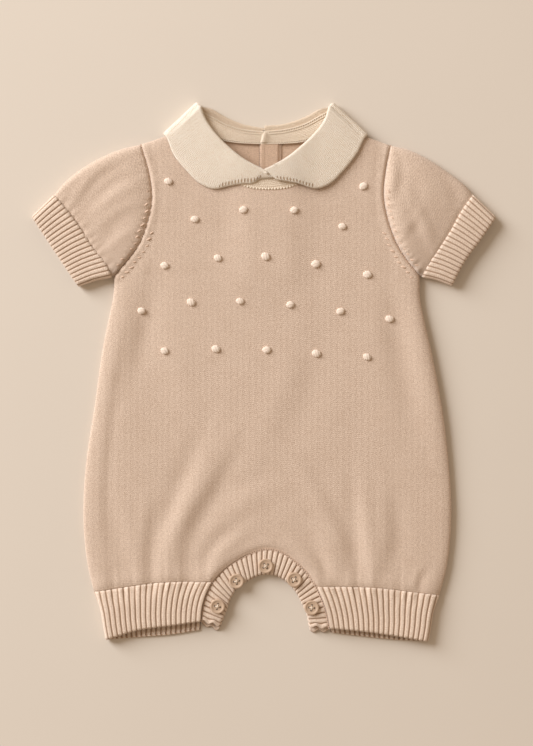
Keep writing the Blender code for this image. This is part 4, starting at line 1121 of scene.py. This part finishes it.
# turned disc with a dished face and four holes
def turnedButton(name, radius, thick):
    half = thick / 2
    dish, low = button["dish"], half - button["dishDepth"]
    profile = [(0, -half), (radius * 0.8, -half), (radius - 0.3 * mm, -half * 0.75), (radius, -half * 0.2),
               (radius, half * 0.35), (radius - 0.25 * mm, half * 0.85), (radius - button["rim"], half),
               (dish + 0.35 * mm, half * 0.96), (dish, low + button["dishDepth"] * 0.2),
               (dish - 0.6 * mm, low), (0, low)]
    bm = bmesh.new()
    steps = button["steps"]
    turns = [2 * math.pi * k / steps for k in range(steps)]
    rings = []
    for r, z in profile:
        places = [(r * math.cos(a), r * math.sin(a), z) for a in (turns if r else turns[:1])]
        rings.append([bm.verts.new(place) for place in places])
    for a, b in zip(rings, rings[1:]):
        for k in range(steps):
            m = (k + 1) % steps
            if len(a) == 1:
                bm.faces.new((a[0], b[m], b[k]))
            elif len(b) == 1:
                bm.faces.new((a[k], a[m], b[0]))
            else:
                bm.faces.new((a[k], a[m], b[m], b[k]))
    drill = bmesh.new()
    off, hole = button["offset"], button["hole"]
    for x, y in ((-off, -off), (-off, off), (off, -off), (off, off)):
        bmesh.ops.create_cone(drill, cap_ends=True, segments=16, radius1=hole, radius2=hole, depth=8 * mm,
                              matrix=Matrix.Translation((x, y, 0)))
    blanks = []
    for part, shape in (("", bm), ("Drill", drill)):
        mesh = bpy.data.meshes.new(name + part)
        shape.to_mesh(mesh)
        shape.free()
        blanks.append(addObject(name + part, mesh))
    cut = blanks[0].modifiers.new("holes", "BOOLEAN")
    cut.operation = "DIFFERENCE"
    cut.solver = "EXACT"
    cut.object = blanks[1]
    bpy.context.view_layer.update()
    made = bpy.data.meshes.new_from_object(blanks[0].evaluated_get(bpy.context.evaluated_depsgraph_get()))
    for blank in blanks:
        bpy.data.objects.remove(blank)
    made.shade_smooth()
    made.set_sharp_from_angle(angle=math.radians(40))
    return made


# thread from one hole to another, a small arch
def threadArch(a, b, height, radius, steps=10, ring=8):
    verts, faces = [], []
    a, b = np.array(a), np.array(b)
    way = (b - a) / np.linalg.norm(b - a)
    side = np.cross(way, [0, 0, 1])
    for i in range(steps + 1):
        t = i / steps
        centre = a * (1 - t) + b * t + np.array([0, 0, height * (math.sin(math.pi * t) ** 0.45)])
        up = np.cross(side, way + np.array([0, 0, 1.2 * math.cos(math.pi * t)]))
        up = up / np.linalg.norm(up)
        for k in range(ring):
            g = 2 * math.pi * k / ring
            verts.append(centre + radius * (side * math.cos(g) + up * math.sin(g)))
    for i in range(steps):
        for k in range(ring):
            m = (k + 1) % ring
            faces.append((i * ring + k, i * ring + m, (i + 1) * ring + m, (i + 1) * ring + k))
    faces.append(tuple(range(ring))[::-1])
    faces.append(tuple(steps * ring + k for k in range(ring)))
    return verts, faces


def makeButtons(prefix, count, label, lift, faceDown=False):
    low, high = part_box(prefix + "1")
    thick = high[2] - low[2]
    shared = turnedButton(label, (high[0] - low[0]) / 2, thick)
    off, base = button["offset"], thick / 2 - button["dishDepth"] - button["sunk"]
    for number in range(1, count + 1):
        low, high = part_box(prefix + str(number))
        centre = (Vector(low) + Vector(high)) / 2 + Vector((0, 0, lift))
        turn = Matrix.Rotation(math.radians(24 * number + 8), 4, "Z")
        if faceDown:
            place = Matrix.Translation(centre) @ Matrix.Rotation(math.pi, 4, "X") @ turn
        else:
            place = Matrix.Translation(centre) @ turn @ Matrix.Rotation(math.radians(button["tilt"]), 4, "X")
        obj = addObject("%s%d" % (label, number), shared.copy())
        obj.data.transform(place)
        settle(obj, buttonTan, prefix + str(number))
        arches = []
        for way in (1, -1):
            for shift in button["strands"]:
                verts, faces = threadArch((shift - off, -off * way, base), (shift + off, off * way, base),
                                          button["arch"], button["thread"])
                arches.append(([place @ Vector(v) for v in verts], faces))
        settle(joined("%sThread%d" % (label, number), arches), creamThread)


makeButtons("button_", 5, "crotchButton", 0.45 * mm)
makeButtons("back_button_", 3, "backButton", 0.0, faceDown=True)
print("buttons")


bobble = {
    "size": np.array([6.6, 5.4, 2.3]) * mm, "lift": 0.32,
    "places": [
        (-74.3, 148), (77.2, 144.3), (-53.8, 118.6), (-16, 126), (23.4, 125.6), (60.8, 113.1), (-77.2, 82.7),
        (-35.9, 88.5), (1.2, 89.7), (40.2, 83.9), (80.3, 75.7), (-95.2, 47.6), (-56.6, 54.2), (-18.7, 55),
        (20.3, 52.3), (59.3, 47.2), (97.5, 41.3), (-77.2, 16.4), (-37.4, 17.9), (2, 17.2), (40.6, 14.4),
        (80, 11.7),
    ],
}


def makeBobbles():
    knots = []
    unit, faces = ball(4)
    for px, py in bobble["places"]:
        x, y = px * mm + middleX, py * mm + middleY
        turn = chance.uniform(-0.5, 0.5)
        phase = chance.uniform(0, 6.28, 3)
        # strands that cross over the knot
        wraps = np.abs(np.sin(unit[:, 0] * 4.4 + unit[:, 1] * 2.6 + phase[0])) * 0.13
        wraps += np.abs(np.sin(unit[:, 1] * 4.0 - unit[:, 2] * 3.0 + phase[1])) * 0.11
        shape = unit * (0.86 + wraps)[:, None] * bobble["size"] / 2 * chance.uniform(0.9, 1.06)
        c, s = math.cos(turn), math.sin(turn)
        base = frontFace(np.array([x]), np.array([y]))[0]
        shape = shape @ np.array([[c, s, 0], [-s, c, 0], [0, 0, 1]])
        knots.append((shape + (x, y, base + bobble["size"][2] * bobble["lift"]), faces))
    settle(joined("bobbles", knots), bobbleYarn)


makeBobbles()
print("bobbles")


# stitches of a seam along a line, at the height that a function gives; length and thickness in pitches
def chain(name, line, height, finish, pitch=1.9 * mm, lift=0.1 * mm, sizes=(1.25, 1.0), shape=None):
    count = int(lengthAlong(line)[-1] / pitch)
    here, ahead = (along(line, (np.arange(count) + step) / count) for step in (0.5, 0.6))
    here, ahead = (np.column_stack([p, height(*p.T) + lift]) for p in (here, ahead))
    scale = np.array([sizes[0], sizes[1], sizes[1]]) * pitch
    places = [stand(p, q - p, scale) for p, q in zip(here, ahead)]
    settle(scatter(name, shape or threadLink(), places), finish)


for side in sides:
    chain("armholeSeam" + side, lines["armhole" + side], frontFace, oatThread)
archWhole = np.vstack([lines["archLeft"][::-1], lines["archTop"][1:], lines["archRight"][1:]])
chain("archSeam", archWhole, lambda x, y: band["top"] + 0.25 * mm + 0 * x, oatThread)
neckSeam = along(lines["neckFront"], np.linspace(0.3, 0.7, 60)) + (0, -0.15 * mm)
chain("neckSeam", neckSeam, frontTop, creamThread, 2.3 * mm, 0.05 * mm, (0.40, 0.34), ball(2))
for side in sides:
    low, high = along(neckLines["low" + side], even(50)), along(neckLines["top" + side], even(50))
    for name, line, lift in (("backNeckLow", low * 1.02 - high * 0.02, 3.1), ("backNeckTop", high, 3.8)):
        chain(name + side, line, backBottom, creamThread, lift=lift * mm, sizes=(1.1, 1.7))

# name, first and last share of the armhole, count, distance from it and lift, millimetres
marks = [("bodyMarks", 0.62, 0.97, 9, 5.8, 0.15), ("sleeveMarks", 0.34, 0.93, 13, -3.4, -0.2)]


# the slanted stitches left where the knitting was narrowed, on both sides of the armhole
def fashionMarks(side, sleevePiece):
    line = lines["armhole" + side]
    top = np.array([tuple(v.co) for v in sleevePiece.data.vertices])
    top = top[top[:, 2] > 3.5 * mm]
    for name, first, last, count, off, lift in marks:
        places = []
        for share in np.linspace(first, last, count):
            p, q = along(line, [share, min(share + 0.01, 1)])
            t = (q - p) / np.linalg.norm(q - p)
            inward = np.array([-t[1], t[0]]) * (1 if side == "Left" else -1)
            centre = p + inward * (off + chance.uniform(-0.7, 0.7)) * mm
            if off > 0:
                z = frontFace(centre[:1], centre[1:])[0]
            else:
                z = top[np.argmin(np.hypot(*(top[:, :2] - centre).T)), 2]
            sizes = np.array([2.0, 0.7, 0.6]) * mm * chance.uniform(0.7, 1.15)
            places.append(stand([*centre, z + lift * mm], [*(t * 0.75 - inward * 0.66), 0], sizes))
        settle(scatter(name + side, ball(2), places), oatThread)


for side, piece in zip(sides, sleeves):
    fashionMarks(side, piece)
print("seams")

studio = {
    "floor": (0.725, 0.657, 0.568), "floorSize": 3, "floorZ": -0.05 * mm,
    "frameHeight": 582 * mm, "lens": 90, "sensor": 36, "offset": (1.95 * mm, -0.78 * mm),
    "key": 255.0, "keyColour": (0.985, 1.0, 1.04), "keyAngle": (-0.68, 0.46, 0.40), "keyFar": 4.3,
    "keySize": 2.8,
    "fill": 0.44, "fillColour": (1.0, 0.78, 0.585, 1),
}


def makeFloor():
    f = Finish("paperFloor", 0.9, specular=0.1)
    fine = f.noise(900)
    lighter = tuple(c * 1.05 for c in studio["floor"])
    colour = f.mix(f.noise(9) * 0.5 + fine * 0.1, studio["floor"], lighter)
    size, z = studio["floorSize"], studio["floorZ"]
    corners = [(-size, -size, z), (size, -size, z), (size, size, z), (-size, size, z)]
    floor = addMesh("floor", corners, [(0, 1, 2, 3)])
    floor.data.materials.append(f.feed(colour, fine, 0.02 * mm))


def makeLight():
    world = bpy.data.worlds.new("studio")
    world.use_nodes = True
    sky = world.node_tree.nodes["Background"].inputs
    sky["Color"].default_value = studio["fillColour"]
    sky["Strength"].default_value = studio["fill"]
    bpy.context.scene.world = world
    lamp = bpy.data.lights.new("window", "AREA")
    lamp.shape = "DISK"
    lamp.size = studio["keySize"]
    lamp.energy = studio["key"]
    lamp.color = studio["keyColour"]
    obj = addObject("window", lamp)
    obj.location = Vector(studio["keyAngle"]).normalized() * studio["keyFar"]
    obj.rotation_euler = (-obj.location).to_track_quat("-Z", "Y").to_euler()


def makeCamera():
    lens = bpy.data.cameras.new("overhead")
    lens.lens = studio["lens"]
    lens.sensor_width = studio["sensor"]
    lens.clip_end = 20
    obj = addObject("overhead", lens)
    distance = studio["frameHeight"] * studio["lens"] / studio["sensor"]
    obj.location = (middleX + studio["offset"][0], middleY + studio["offset"][1], distance)
    bpy.context.scene.camera = obj


makeFloor()
makeLight()
makeCamera()
bpy.context.scene.view_settings.view_transform = "Standard"

bpy.context.view_layer.update()
